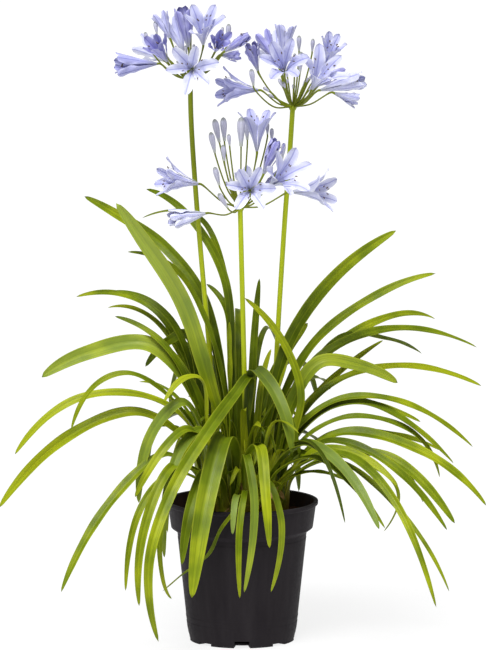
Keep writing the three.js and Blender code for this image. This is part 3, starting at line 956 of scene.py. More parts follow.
@dataclass(frozen=True)
class PotFinish:
    """Black moulded plastic: satin, faintly streaked from the mould, dusty inside the rim.

    The ramps for the dust go by metres from the axis and above the ground.
    """

    plastic: Colour = (0.0215, 0.0184, 0.0212)
    worn: Colour = (0.0300, 0.0262, 0.0292)
    dust: Colour = (0.040, 0.022, 0.016)
    streak_scale: Point = (60.0, 60.0, 6.0)
    worn_share: Ramp = (0.35, 0.7, 0.0, 1.0)
    dust_inside: Ramp = (0.0825, 0.0832, 1.0, 0.0)
    dust_above: Ramp = (0.140, 0.150, 0.0, 1.0)
    dust_scale: float = 55.0
    dust_share: Ramp = (0.35, 0.6, 0.25, 0.95)
    sheen_scale: float = 240.0
    sheen: Ramp = (0.3, 0.7, 0.42, 0.58)
    grain_scale: float = 1500.0
    grain_depth: float = 0.06

    def material(self) -> Material:
        """Builds the finish.

        Returns:
            the material
        """
        p = Paint("pot_plastic", 0.5, Specular_IOR_Level=0.03)
        where = p.place()
        x, y, z = p.parts(where)
        radius = p.vector("LENGTH", p.combined(x, y, 0.0))
        inside = p.product(p.ranged(radius, *self.dust_inside), p.eased(z, *self.dust_above))
        patch = p.ranged(p.noise(where, self.dust_scale, 4.0), *self.dust_share)
        streak = p.noise(p.vector("MULTIPLY", where, self.streak_scale), 1.0, 4.0, 0.6)
        colour = p.layered(
            self.plastic,
            (p.ranged(streak, *self.worn_share), self.worn),
            (p.product(inside, patch), self.dust),
        )
        sheen = p.ranged(p.noise(where, self.sheen_scale, 3.0), *self.sheen)
        return p.coat(colour, sheen, p.noise(where, self.grain_scale), self.grain_depth)


@dataclass(frozen=True)
class SoilFinish:
    """Damp potting compost: dark reddish brown crumbs with paler fibre."""

    dark: Colour = (0.020, 0.008, 0.005)
    brown: Colour = (0.100, 0.034, 0.018)
    fibre: Colour = (0.200, 0.110, 0.055)
    crumb_scale: float = 260.0
    brown_share: Ramp = (0.35, 0.65, 0.0, 1.0)
    fibre_scale: float = 420.0
    fibre_share: Ramp = (0.66, 0.74, 0.0, 1.0)
    crumb_depth: float = 1.2

    def material(self) -> Material:
        """Builds the finish.

        Returns:
            the material
        """
        p = Paint("compost", 0.9, Specular_IOR_Level=0.2)
        where = p.place()
        crumb = p.noise(where, self.crumb_scale, 5.0, 0.65)
        colour = p.layered(
            self.dark,
            (p.ranged(crumb, *self.brown_share), self.brown),
            (p.ranged(p.noise(where, self.fibre_scale), *self.fibre_share), self.fibre),
        )
        return p.coat(colour, None, crumb, self.crumb_depth)


# ---- pot --------------------------------------------------------------------------------------------


@dataclass
class Pot:
    """A round moulded nursery pot: rolled lip, deep band, tapered body and a foot ring of pads.

    Sizes are in millimetres. A profile goes once round the wall's section, from the axis underneath.
    """

    height: float = 162
    wall: float = 2
    lip_radius: float = 87.5
    lip_height: float = 5
    lip_slope: float = 1
    band_top_radius: float = 85
    band_bottom_radius: float = 81.5
    band_bottom: float = 131
    shoulder_radius: float = 74.5
    shoulder: float = 126
    body_bottom_radius: float = 63
    body_bottom: float = 15
    base_radius: float = 60.5
    foot_height: float = 2.5
    pad_inner: float = 46
    pad_inset: float = 0.15
    pads: int = 8
    pad_angle: float = 27
    first_pad: float = 22.5
    notch_height: float = 8
    notch_width: float = 16
    notch_reach: Pair = (55.5, 65)
    edge: float = 0.9
    edge_steps: int = 4
    most_round: float = 0.4
    ring_lines: tuple[float, ...] = (22, 29, 119)
    ring_relief: float = 0.25
    ring_half: float = 1.2
    sides: int = 192
    block_steps: int = 8
    sharp_from: float = 32

    def profile(self) -> list[Vector]:
        """Lays out the wall's section.

        Returns:
            its points, as (radius, height)
        """
        top = self.height - self.lip_height
        outside = [
            (self.base_radius, self.foot_height), (self.body_bottom_radius, self.body_bottom),
            *self.ring_points(), (self.shoulder_radius, self.shoulder),
            (self.band_bottom_radius, self.band_bottom), (self.band_top_radius, top),
            (self.lip_radius, top + self.lip_slope), (self.lip_radius, self.height),
        ]
        behind = [
            (self.band_top_radius, self.height), (self.band_bottom_radius, self.band_bottom),
            (self.shoulder_radius, self.shoulder), (self.body_bottom_radius, self.body_bottom),
            (self.base_radius, self.foot_height + self.wall),
        ]
        inside = [(radius - self.wall, height) for radius, height in behind]
        corners = [Vector(corner) for corner in (*outside, *inside)]
        start, stop = Vector((0, self.foot_height)), Vector((0, self.foot_height + self.wall))
        return [start, *self.rounded([start, *corners, stop]), stop]

    def ring_points(self) -> list[Pair]:
        """Lays out the low ring lines that the mould leaves on the body.

        Returns:
            points of the section
        """
        points = []
        slope = (self.shoulder_radius - self.body_bottom_radius) / (self.shoulder - self.body_bottom)
        for height in self.ring_lines:
            radius = self.body_bottom_radius + slope * (height - self.body_bottom)
            points += [
                (radius, height - self.ring_half), (radius + self.ring_relief, height),
                (radius, height + self.ring_half),
            ]
        return points

    def rounded(self, corners: Sequence[Vector]) -> list[Vector]:
        """Rounds each corner of a section by the pot's edge.

        Args:
            corners: the section

        Returns:
            the rounded section, without its two ends
        """
        points = []
        for before, corner, after in zip(corners, corners[1:], corners[2:]):
            reach = min(self.edge, self.most_round * min((corner - before).length, (after - corner).length))
            start = corner + (before - corner).normalized() * reach
            stop = corner + (after - corner).normalized() * reach
            for k in range(self.edge_steps + 1):
                s = k / self.edge_steps
                points.append(start * (1 - s) ** 2 + corner * 2 * s * (1 - s) + stop * s**2)
        return points

    def turned(self) -> Mesh:
        """Turns the wall and floor about the axis.

        Returns:
            the mesh
        """
        section = self.profile()
        rings = [
            [around(point.x * MM, 360 * k / self.sides, point.y * MM) for k in range(self.sides)]
            for point in section[1:-1]
        ]
        return revolved("pot", section[0].y * MM, section[-1].y * MM, rings)

    def sector(self, inner: float, outer: float, centre: float, width: float, top: float) -> Thing:
        """Makes a block that follows the foot ring, for joining or cutting.

        Args:
            inner: its inner radius
            outer: its outer radius
            centre: the heading of its middle
            width: the angle that it takes
            top: its height above the ground

        Returns:
            the block
        """
        steps = self.block_steps
        shape = bmesh.new()
        loop = [(inner, k) for k in range(steps + 1)] + [(outer, k) for k in range(steps, -1, -1)]
        low, high = (
            [shape.verts.new(around(r * MM, centre + width * (k / steps - 0.5), z * MM)) for r, k in loop]
            for z in (0, top)
        )
        for k, (r, step) in enumerate(loop):
            n = (k + 1) % len(loop)
            shape.faces.new((low[n], low[k], high[k], high[n]))
        for k in range(steps):
            a, b = k, len(loop) - 1 - k
            shape.faces.new((low[a], low[a + 1], low[b - 1], low[b]))
            shape.faces.new((high[a + 1], high[a], high[b], high[b - 1]))
        return shown("block", outwards(written("block", shape)))

    def build(self) -> Thing:
        """Turns the pot, joins its pads and cuts its drain notches.

        Returns:
            the piece
        """
        pot = shown("pot_body", outwards(self.turned()))
        blocks = []
        for k in range(self.pads):
            centre = self.first_pad + 360 * k / self.pads
            top = self.foot_height + self.wall / 2
            pad = self.sector(self.pad_inner, self.base_radius - self.pad_inset, centre, self.pad_angle, top)
            blocks.append((pad, "UNION"))
            if k % 2:
                notch = centre + 180 / self.pads
                cutter = self.sector(*self.notch_reach, notch, self.notch_width, self.notch_height)
                blocks.append((cutter, "DIFFERENCE"))
        for block, way in blocks:
            cut = pot.modifiers.new(way, "BOOLEAN")
            cut.object, cut.operation, cut.solver = block, way, "MANIFOLD"
        mesh = plain_mesh(pot)
        for block, _ in blocks:
            bpy.data.objects.remove(block)
        mesh.materials.clear()
        mesh.materials.append(PotFinish().material())
        mesh.shade_smooth()
        mesh.set_sharp_from_angle(angle=math.radians(self.sharp_from))
        return settle("nursery_pot", mesh, Slot.POT, "pot")


# ---- soil -------------------------------------------------------------------------------------------


@dataclass
class Soil:
    """Compost that fills the pot: a rough mound with crumbs and bits of fibre lying on it.

    Lengths are in millimetres, the lumps' scale goes by metres, and the crumbs are counted for a square
    metre.
    """

    edge: float = 145
    middle: float = 150
    clearance: float = 0.3
    over_notch: float = 1
    lump: float = 1.4
    lump_scale: float = 95.0
    lump_layers: tuple[float, float, int] = (0.7, 2.0, 4)
    lump_fade: float = 6.0
    rings: int = 64
    sides: int = 160
    crumbs: float = 150000.0
    crumb: float = 1.1
    crumb_least: Point = (0.25, 0.25, 0.2)
    crumb_most: Point = (1.5, 1.2, 0.9)
    crumb_turn: Point = (6.28, 6.28, 6.28)
    fibres: float = 0.02
    fibre_sides: int = 5
    fibre_length: float = 7
    fibre_radii: Pair = (0.15, 0.3)
    fibre_least_turn: Point = (1.2, 0.0, 0.0)
    fibre_most_turn: Point = (1.8, 0.3, 6.28)
    seed: int = 4

    def body(self, pot: Pot) -> Mesh:
        """Returns the compost as one closed body inside the pot's wall.

        Args:
            pot: the pot that it fills

        Returns:
            the mesh
        """
        inset = pot.wall + self.clearance
        rise = (self.edge - pot.band_bottom) / (pot.height - pot.band_bottom)
        rim = blend(pot.band_bottom_radius, pot.band_top_radius, rise) - inset
        wall = [
            (pot.base_radius, pot.notch_height + self.over_notch), (pot.body_bottom_radius, pot.body_bottom),
            (pot.shoulder_radius, pot.shoulder), (pot.band_bottom_radius, pot.band_bottom),
        ]
        section = [(radius - inset, height) for radius, height in wall]
        section += [(rim * k / self.rings, None) for k in range(self.rings, 0, -1)]
        rings = [
            [self.surface(radius, rim, 360 * k / self.sides, height) for k in range(self.sides)]
            for radius, height in section
        ]
        return outwards(revolved("soil", section[0][1] * MM, self.middle * MM, rings))

    def surface(self, radius: float, rim: float, heading: float, height: float | None) -> Vector:
        """Places one point of the compost.

        Args:
            radius: its distance from the axis
            rim: the top's radius
            heading: its heading
            height: its height, or None on the rough top

        Returns:
            the point, in metres
        """
        if height is not None:
            return around(radius * MM, heading, height * MM)
        share = radius / rim
        place = around(radius * MM, heading, 0)
        rough = noise.fractal(place * self.lump_scale, *self.lump_layers) * self.lump
        rough *= min(1.0, self.lump_fade * (1 - share))
        place.z = (blend(self.middle, self.edge, share**2) + rough) * MM
        return place

    def tree(self) -> Growth:
        """Strews crumbs and fibres on the compost's top.

        Returns:
            the tree
        """
        g = Growth("strewn compost")
        density = g.ask("Density", self.crumbs)
        size = g.ask("Crumb", self.crumb * MM)
        seed = g.ask("Seed", self.seed, "NodeSocketInt")
        finish = g.ask("Finish", kind="NodeSocketMaterial")
        up = g.parts(g.node("GeometryNodeInputNormal"))[2]
        top = {"Mesh": g.geometry, "Selection": g.maths("GREATER_THAN", up, 0.5)}

        def strewn(thing: Feed, turn: Feed, size_range: Feed, share: Feed, draw: Feed) -> Node:
            """Strews copies of a thing on the top.

            Args:
                thing: what is copied
                turn: the copies' turn
                size_range: their size
                share: how many there are
                draw: the seed

            Returns:
                the copies
            """
            feeds = {**top, "Density": share, "Seed": draw}
            points = g.node("GeometryNodeDistributePointsOnFaces", feeds, distribute_method="RANDOM")
            feeds = {"Points": points, "Instance": thing, "Rotation": turn, "Scale": size_range}
            return g.node("GeometryNodeInstanceOnPoints", feeds)

        crumb = g.node("GeometryNodeMeshIcoSphere", {"Radius": size, "Subdivisions": 1})
        turn, girth = g.drawn((0.0, 0.0, 0.0), self.crumb_turn), g.drawn(self.crumb_least, self.crumb_most)
        crumbs = strewn(crumb, turn, girth, density, seed)
        thin, thick = (radius * MM for radius in self.fibre_radii)
        feeds = {"Radius Top": thin, "Radius Bottom": thick, "Depth": self.fibre_length * MM}
        fibre = g.node("GeometryNodeMeshCone", {"Vertices": self.fibre_sides, **feeds})
        lying = g.drawn(self.fibre_least_turn, self.fibre_most_turn)
        few = g.product(density, self.fibres)
        fibres = strewn(fibre, lying, (1.0, 1.0, 1.0), few, g.total(seed, 1))
        return g.finish(g.joined(g.geometry, crumbs, fibres), (finish, True))

    def build(self, pot: Pot) -> Thing:
        """Builds the compost in a pot."""
        mesh = self.tree().grow("compost", self.body(pot), Finish=SoilFinish().material())
        return settle("compost", mesh, Slot.SOIL, "soil")


# ---- leaves -----------------------------------------------------------------------------------------


@dataclass(frozen=True)
class Leaf:
    """One strap leaf.

    Its path gives (reach from the pot's axis, height) from the first rise to the tip, which lies on the
    heading. A third number moves a point aside, counterclockwise from above. Roll turns its upper side to
    the front. Tone goes from 0, old and dark, to 1, young, and a dry one has less than -0.5; a low tone is
    partly painted shade on leaves deep in the clump. Painted sheen is how much grey-green painted
    highlight lies on its outer half.
    """

    heading: float
    width: float
    roll: float
    path: Path
    tone: float = 0.5
    mist: float = 0.0


@dataclass(frozen=True)
class Fan:
    """One shoot: its solid's name, where it stands, its leaves, and thin ones that its solid leaves out."""

    name: str
    radius: float
    heading: float
    leaves: tuple[Leaf, ...]
    thin: tuple[Leaf, ...] = ()


OUTER = 42
INNER = 14

# the tones are given leaf by leaf; the low tones of inner and back leaves are partly painted shade
FANS = (
    Fan("leaf_fan_right", OUTER, 0, (
        Leaf(-14, 13, 25, ((60, 190), (125, 218), (175, 214), (250, 145))),
        Leaf(-10, 7, 20, ((58, 200), (125, 226), (180, 208), (210, 165))),
        Leaf(-6, 15, 30, ((60, 200), (115, 240), (210, 218), (281, 160)), 0.7),
        Leaf(0, 15, 20, ((58, 225), (105, 268), (150, 270), (243, 204))),
        Leaf(4, 8, 25, ((60, 220), (120, 258), (195, 240), (228, 185))),
        Leaf(8, 10, 25, ((58, 235), (110, 276), (180, 274), (269, 217))),
        Leaf(11, 8, 25, ((60, 240), (120, 270), (210, 246))),
        Leaf(14, 17, 35, ((56, 265), (90, 318), (135, 314), (185, 291)), 0.65, 0.2),
        Leaf(17, 9, 20, ((60, 195), (100, 232), (180, 230), (240, 208)), 0.6),
        Leaf(-8, 9, 70, ((60, 240), (68, 290), (44, 350), (3, 396)), 0.85),
    )),
    Fan("leaf_fan_right_back", OUTER, 40, (
        Leaf(23, 10, 20, ((58, 220), (110, 285), (200, 304), (303, 276)), 0.75),
        Leaf(27, 13, 25, ((58, 250), (105, 317), (200, 345), (308, 318)), 0.3),
        Leaf(34, 8, 25, ((56, 215), (95, 264), (150, 305), (198, 331)), 0.95),
        Leaf(38, 12, 25, ((58, 225), (130, 315), (230, 355), (288, 346))),
        Leaf(45, 8, 20, ((56, 240), (150, 335), (225, 327), (300, 300)), 0.3),
        Leaf(54, 14, 10, ((56, 230), (105, 280), (150, 285), (175, 268)), 0.2),
        Leaf(50, 12, 15, ((54, 200), (95, 228), (140, 212), (162, 165)), 0.2),
    )),
    Fan("leaf_fan_right_front", OUTER, 320, (
        Leaf(-22, 11, 30, ((58, 190), (108, 237), (175, 222), (251, 143))),
        Leaf(-26, 6, 20, ((60, 200), (140, 222), (195, 190), (180, 139))),
        Leaf(-30, 10, 30, ((56, 190), (103, 229), (150, 226), (204, 195)), 0.7),
        Leaf(-35, 6, 20, ((56, 182), (100, 205), (153, 196))),
        Leaf(-40, 7, 25, ((60, 185), (140, 222), (246, 166), (303, 91))),
        Leaf(-46, 10, 25, ((58, 190), (150, 232), (231, 199), (312, 79)), 0.6),
        Leaf(-48, 7, 20, ((58, 195), (130, 228), (195, 205), (240, 160))),
        Leaf(-51, 14, 20, ((56, 200), (120, 242), (180, 222), (244, 161)), 0.35, 0.5),
        Leaf(-58, 5, 15, ((54, 200), (110, 245), (161, 236), (218, 167)), -0.25),
    )),
    Fan("leaf_fan_left", OUTER, 200, (
        Leaf(184, 15, 30, ((62, 225), (120, 265), (200, 238), (279, 156)), 0.75),
        Leaf(190, 11, 25, ((58, 245), (107, 282), (190, 283), (263, 222)), 0.85),
        Leaf(197, 8, 25, ((60, 250), (133, 315), (172, 305), (203, 253)), 0.3),
        Leaf(208, 14, 25, ((54, 240), (80, 281), (115, 250), (133, 169)), 0.6, 0.3),
        Leaf(214, 13, 20, ((56, 190), (100, 222), (173, 175), (246, 80)), 0.6),
        Leaf(215, 10, 10, ((48, 255), (56, 306), (76, 309), (108, 285)), 1.0),
    )),
    Fan("leaf_fan_left_back", OUTER, 160, (
        Leaf(175, 20, 32, ((50, 265), (106, 338), (180, 328), (231, 301)), 0.52, 0.3),
        Leaf(171, 6, 20, ((54, 245), (85, 288), (120, 296)), 0.7),
        Leaf(167, 8, 20, ((52, 265), (90, 340), (150, 370)), 0.3),
        Leaf(162, 12, 55, ((50, 300), (66, 351), (88, 343), (117, 311)), 0.05),
        Leaf(158, 8, 20, ((52, 280), (90, 372), (159, 396)), 0.25),
        Leaf(152, 8, 25, ((52, 270), (107, 370), (160, 390), (218, 383)), 0.4),
        Leaf(146, 6, 20, ((52, 260), (100, 350), (142, 372), (188, 370)), 0.5),
    )),
    Fan("leaf_fan_left_front", OUTER, 240, (
        Leaf(224, 11, 20, ((56, 225), (95, 255), (132, 235), (168, 185))),
        Leaf(228, 9, 20, ((58, 180), (117, 208), (175, 175), (196, 83))),
        Leaf(232, 12, 20, ((58, 190), (123, 217), (180, 150), (188, 66))),
        Leaf(237, 7, 15, ((58, 190), (125, 212), (170, 150), (165, 95), (140, 68))),
        Leaf(234, 12, 20, ((44, 225), (70, 252), (108, 233), (140, 188), (153, 154), (148, 116)), 0.6, 0.25),
        Leaf(241, 15, 20, (
            (10, 250, 8), (14, 307, 13), (46, 292, 11), (112, 252, 7), (173, 194), (215, 120), (198, 30),
        ), 0.55),
        Leaf(244, 6, 0, ((54, 172), (88, 180), (121, 115))),
        Leaf(246, 14, 15, ((54, 185), (100, 208), (149, 174), (166, 114)), 0.2),
        Leaf(252, 24, 15, ((46, 222), (76, 246), (134, 190), (182, 80)), 0.58, 0.05),
    ), (
        Leaf(240, 4.5, 40, (
            (66, 169, 30), (78, 165, 33), (91, 144, 26), (98, 116, 10), (94, 88, -26), (88, 64, -56)), 0.5),
    )),
    Fan("leaf_fan_front", OUTER, 280, (
        Leaf(263, 8, 0, ((54, 172, 3), (82, 178, 3), (104, 140, 2)), 0.6, 0.8),
        Leaf(267, 8, 0, ((54, 178, 4), (88, 182, 4), (114, 145), (122, 70, 4)), 0.6),
        Leaf(276, 10, 0, ((52, 205, -3), (80, 226, -3), (116, 175, 2), (129, 78, -11)), 0.55, 0.25),
        Leaf(282, 13, 0, ((56, 218, -9), (98, 238, -8), (142, 185, -3), (150, 132)), 0.78),
        Leaf(289, 8, 0, ((54, 180, 7), (92, 196, 8), (118, 150, 6), (121, 76, -7)), 0.6, 0.1),
    )),
    Fan("leaf_fan_back", OUTER, 80, (
        Leaf(63, 13, 0, ((56, 240), (110, 300), (160, 298), (192, 255)), 0.2),
        Leaf(70, 15, 0, ((54, 220), (100, 260), (160, 225), (195, 140)), 0.4),
        Leaf(77, 7, 0, ((52, 260), (90, 330), (150, 340), (210, 290)), 0.2),
        Leaf(90, 11, 0, ((50, 270), (78, 345), (125, 365), (180, 330)), 0.4),
        Leaf(85, 15, 0, ((56, 210), (110, 245), (165, 200), (190, 110)), 0.6),
        Leaf(94, 13, 0, ((54, 230), (110, 280), (180, 260), (228, 190)), 0.5),
    )),
    Fan("leaf_fan_back_left", OUTER, 120, (
        Leaf(105, 14, 0, ((54, 220), (100, 265), (165, 240), (205, 160)), 0.4),
        Leaf(112, 12, 0, ((56, 245), (110, 310), (175, 305), (228, 240)), 0.3),
        Leaf(119, 15, 0, ((54, 200), (105, 235), (160, 190), (180, 95)), 0.6),
        Leaf(127, 12, 0, ((52, 250), (95, 325), (140, 332), (172, 305)), 0.3),
        Leaf(135, 14, 0, ((56, 215), (100, 250), (135, 232), (152, 185)), 0.3),
    )),
    Fan("leaf_fan_inner_left", INNER, 165, (
        Leaf(189, 20, 55, ((18, 220), (40, 300), (70, 395), (118, 471), (145, 508)), 0.78, 0.5),
        Leaf(140, 13, 40, ((22, 260), (55, 390), (110, 447), (186, 479), (240, 494)), 0.4),
        Leaf(145, 10, 45, ((13, 300), (22, 420), (75, 489), (135, 512)), 0.35),
        Leaf(128, 7, 20, ((14, 300), (30, 420), (56, 473), (105, 485), (190, 469)), 0.3),
        Leaf(183, 8, 30, ((20, 280), (44, 375), (80, 432), (131, 450)), 0.4),
        Leaf(150, 11, 20, ((14, 260), (15, 345), (19, 383), (47, 409)), 0.15),
        Leaf(190, 9, 20, ((15, 230), (15, 310), (15, 369)), 0.7),
    )),
    Fan("leaf_fan_inner_right", INNER, 40, (
        Leaf(7, 15, 45, ((28, 230), (53, 338), (103, 412), (178, 471)), 0.45),
        Leaf(10, 11, 35, ((30, 230), (85, 339), (165, 397), (226, 419)), 0.5),
        Leaf(52, 13, 25, ((30, 230), (60, 300), (124, 353)), 0.5),
        Leaf(80, 9, 0, ((18, 250, -6), (24, 340, -12), (30, 415, -15)), 0.3),
        Leaf(350, 8, 60, ((17, 230), (24, 305), (34, 338)), 0.95),
    )),
    Fan("leaf_fan_inner_front", INNER, 270, (
        Leaf(305, 17, 10, ((16, 240), (18, 302), (29, 316), (62, 300), (88, 268), (99, 229)), 0.25, 0.18),
        Leaf(325, 9, 20, ((22, 235), (52, 290), (67, 338)), 0.8),
    )),
)


@dataclass
class Foliage:
    """All leaf fans. The blades lie on each other at the base of a fan as in a leek.

    Lengths are in millimetres and angles in degrees. A leaf's age goes from 0 at its root to 1 at its tip,
    and ramps run over it unless they say otherwise. Young leaves are the short ones that fill a shoot's
    foot, of which the last ones are dry.
    """

    fans: tuple[Fan, ...] = FANS
    thickness: float = 1.9
    thinned: Ramp = (0.3, 1.0, 1.0, 0.6)
    channel: float = 0.21
    channel_power: float = 1.35
    channel_depth: Ramp = (0.0, 1.0, 1.35, 0.75)
    sheath_channel: float = 0.12
    groove: float = 0.25
    groove_across: Ramp = (0.0, 0.3, 1.0, 0.0)
    wave: float = 0.5
    waves: float = 34.0
    wave_shift: float = 40.0
    wave_rise: Ramp = (0.1, 0.4, 0.0, 1.0)
    layer: float = 2.3
    root_height: float = 153
    buried: float = 120
    buried_spread: float = 0.6
    root_width: float = 0.48
    full_width_at: float = 0.52
    tip_powers: Table = ((60, 4.0), (160, 5.5), (300, 8.0))
    roll_gain: float = 1.35
    roll_rise: Ramp = (0.0, 0.5, 0.0, 1.0)
    twist: Pair = (-10, 42)
    twist_rise: Ramp = (0.35, 1.0, 0.0, 1.0)
    root_spread: float = 0.3
    most_spread: float = 20
    sway: float = 5
    edge_offset: float = 12
    sheath_half: float = 9.5
    sheath_end: float = 182
    sheath_fade: Ramp = (0.04, 0.16, 1.0, 0.0)
    weld: float = 0.02
    rings: int = 80
    sides: int = 20
    wander: float = 3.5
    tone_scatter: float = 0.13
    young_outside: int = 4
    young_inside: int = 10
    young_rings: int = 26
    young_rise: Pair = (35, 120)
    young_reach: Pair = (0.15, 0.75)
    young_bend: Path = ((0.15, 0.6), (0.5, 1.0))
    young_droop: Pair = (0.55, 1.05)
    young_aside: float = 12
    young_width: Pair = (4, 9)
    young_roll: Pair = (-30, 60)
    young_turn: float = 40
    young_tones: tuple[float, ...] = (0.0, 0.15, 0.4, 0.7, 0.95)
    dry_count: int = 1
    dry_rise: Pair = (15, 35)
    dry_tone: float = -0.8
    seed: int = 11

    def tree(self) -> Growth:
        """Wraps leaf paths in channelled, waved blades with a fine midrib.

        Returns:
            the tree
        """
        g = Growth("strap blades")
        sides = g.ask("Sides", self.sides, "NodeSocketInt")
        thickness = g.ask("Thickness", self.thickness * MM)
        channel = g.ask("Channel", self.channel)
        wave = g.ask("Wave", self.wave * MM)
        finish = g.ask("Finish", kind="NodeSocketMaterial")
        path = g.curve(g.geometry, g.attribute("rings"))
        age, tone = g.attribute("age"), g.attribute("tone")
        side, face = self.directions(g, age)
        taper = g.maths("SQRT", g.maths("SUBTRACT", 1.0, g.maths("POWER", age, g.attribute("tip"))))
        centre = g.node("GeometryNodeInputPosition").outputs[0]
        wrap = g.eased(g.parts(centre)[2], self.root_height * MM, self.sheath_end * MM, 1.0, 0.0)
        wrap = g.product(wrap, g.eased(age, *self.sheath_fade))
        half = g.eased(age, 0.0, self.full_width_at, self.root_width / 2, 0.5)
        half = g.product(g.attribute("width"), half, taper)
        spare = g.maths("MAXIMUM", g.maths("SUBTRACT", self.sheath_half * MM, half), 0.0)
        half = g.maths("MULTIPLY_ADD", spare, wrap, half)
        path, centre, side, face, half, taper, age, tone, wrap = g.capture(
            path, centre=centre, side=side, face=face, half=half, taper=taper, age=age, tone=tone, wrap=wrap)
        ring, rim = g.capture(g.ring(sides), rim=g.node("GeometryNodeInputPosition").outputs[0])
        skin = g.tube(path, ring)
        x, y, _ = g.parts(rim)
        off = g.maths("ABSOLUTE", x)
        bend = g.product(g.maths("POWER", off, self.channel_power), half, 2.0)
        depth = g.product(channel, g.ranged(age, *self.channel_depth))
        depth = g.maths("MULTIPLY_ADD", wrap, self.sheath_channel, depth)
        ripple = g.maths("MULTIPLY_ADD", age, self.waves, g.product(tone, self.wave_shift))
        ripple = g.product(g.maths("SINE", ripple), wave, x, off, taper, g.eased(age, *self.wave_rise))
        thick = g.product(thickness, 0.5, y, taper, g.ranged(age, *self.thinned))
        groove = g.product(g.eased(off, *self.groove_across), taper, -self.groove * MM)
        rise = g.total(g.product(bend, depth), ripple, thick, groove)
        skin = g.placed(skin, g.moved(centre, (side, g.product(half, x)), (face, rise)))
        skin = g.node("GeometryNodeMergeByDistance", {"Geometry": skin, "Distance": self.weld * MM})
        skin = g.mapped(g.smooth(skin), g.maths("MULTIPLY_ADD", x, 0.5, 0.5), age)
        return g.finish(skin, (finish, True))

    def directions(self, g: Growth, age: Feed) -> tuple[Socket, Socket]:
        """Works out how a blade is turned about its path.

        Args:
            g: the tree
            age: the age along the leaf

        Returns:
            the direction across the blade, and the one out of its upper face
        """
        heading = g.attribute("heading")
        cosine = g.maths("COSINE", heading)
        along = g.node("GeometryNodeInputTangent").outputs[0]
        level = g.combined(g.product(g.maths("SINE", heading), -1.0), cosine, 0.0)
        flat = g.vector("SUBTRACT", level, g.scaled(along, g.vector("DOT_PRODUCT", level, along)))
        turn = g.product(g.attribute("roll"), g.eased(age, *self.roll_rise))
        turn = g.maths("MULTIPLY_ADD", g.attribute("twist"), g.eased(age, *self.twist_rise), turn)
        turn = g.product(turn, g.maths("SIGN", cosine))
        feeds = {"Vector": g.vector("NORMALIZE", flat), "Axis": along, "Angle": turn}
        side = g.node("ShaderNodeVectorRotate", feeds, rotation_type="AXIS_ANGLE").outputs[0]
        return side, g.vector("CROSS_PRODUCT", along, side)

    def strand(self, fan: Fan, leaf: Leaf, layer: float, tone: float, rings: int,
               dice: random.Random) -> Strand:
        """Lays out one leaf's path, from inside the soil to its tip.

        Args:
            fan: the shoot that it grows from
            leaf: the leaf
            layer: its place in the shoot, counted outwards from 0
            tone: its own tone
            rings: how many rings its skin has
            dice: where its twist and its small bends come from

        Returns:
            the path, with what the tree reads at each point
        """
        offset = (leaf.heading - fan.heading + 180) % 360 - 180
        spread = self.root_spread * max(-self.most_spread, min(self.most_spread, offset))
        outwards_by = (layer - (len(fan.leaves) - 1) / 2) * self.layer
        if abs(offset) > self.edge_offset:
            sway = math.copysign(self.sway, offset)
        else:
            sway = self.sway * (int(layer) % 3 - 1)
        out, aside = around(1, fan.heading, 0), around(1, fan.heading + 90, 0)
        root = out * (fan.radius + outwards_by) + aside * spread + Vector((0, 0, self.root_height))
        reach_most = max(point[0] for point in leaf.path)
        beside = around(1, leaf.heading + 90, 0)
        places = [
            around(reach, leaf.heading - sway * (1 - (reach / reach_most) ** 2), height) + beside * sum(shift)
            for reach, height, *shift in leaf.path
        ]
        for place in places[1:-1]:
            place += beside * dice.uniform(-self.wander, self.wander)
        line = smooth_line([root, *places], round_end=True)
        foot = Vector((root.x, root.y, self.buried)) - aside * spread * self.buried_spread
        strand = Strand.even(
            [point * MM for point in (foot, (foot + root) / 2, *line)],
            heading=math.radians(leaf.heading), width=leaf.width * MM,
            roll=math.radians(leaf.roll * self.roll_gain), twist=math.radians(dice.uniform(*self.twist)),
            tone=tone, mist=leaf.mist, tip=along_table(self.tip_powers, leaf.path[-1][1]), rings=float(rings))
        strand.values["age"] = [0.0, 0.0, *shares(line)]
        return strand

    def young(self, fan: Fan, dice: random.Random) -> list[Leaf]:
        """Draws the short leaves that fill a shoot's foot, young or dry.

        Args:
            fan: the shoot
            dice: where the draws come from

        Returns:
            the leaves
        """
        leaves = []
        count = self.young_inside if fan.radius < OUTER else self.young_outside
        for number in range(count):
            is_dry = number >= count - self.dry_count
            rise = dice.uniform(*(self.dry_rise if is_dry else self.young_rise))
            reach = rise * dice.uniform(*self.young_reach)
            droop = dice.uniform(*self.young_droop)
            aside = dice.uniform(-self.young_aside, self.young_aside)
            path = [(fan.radius + out * reach, self.root_height + up * rise) for out, up in self.young_bend]
            path.append((fan.radius + reach, self.root_height + rise * droop, aside))
            heading = fan.heading + dice.uniform(-self.young_turn, self.young_turn)
            tone = self.dry_tone if is_dry else dice.choice(self.young_tones)
            width, roll = dice.uniform(*self.young_width), dice.uniform(*self.young_roll)
            leaves.append(Leaf(heading, width, roll, tuple(path), tone))
        return leaves

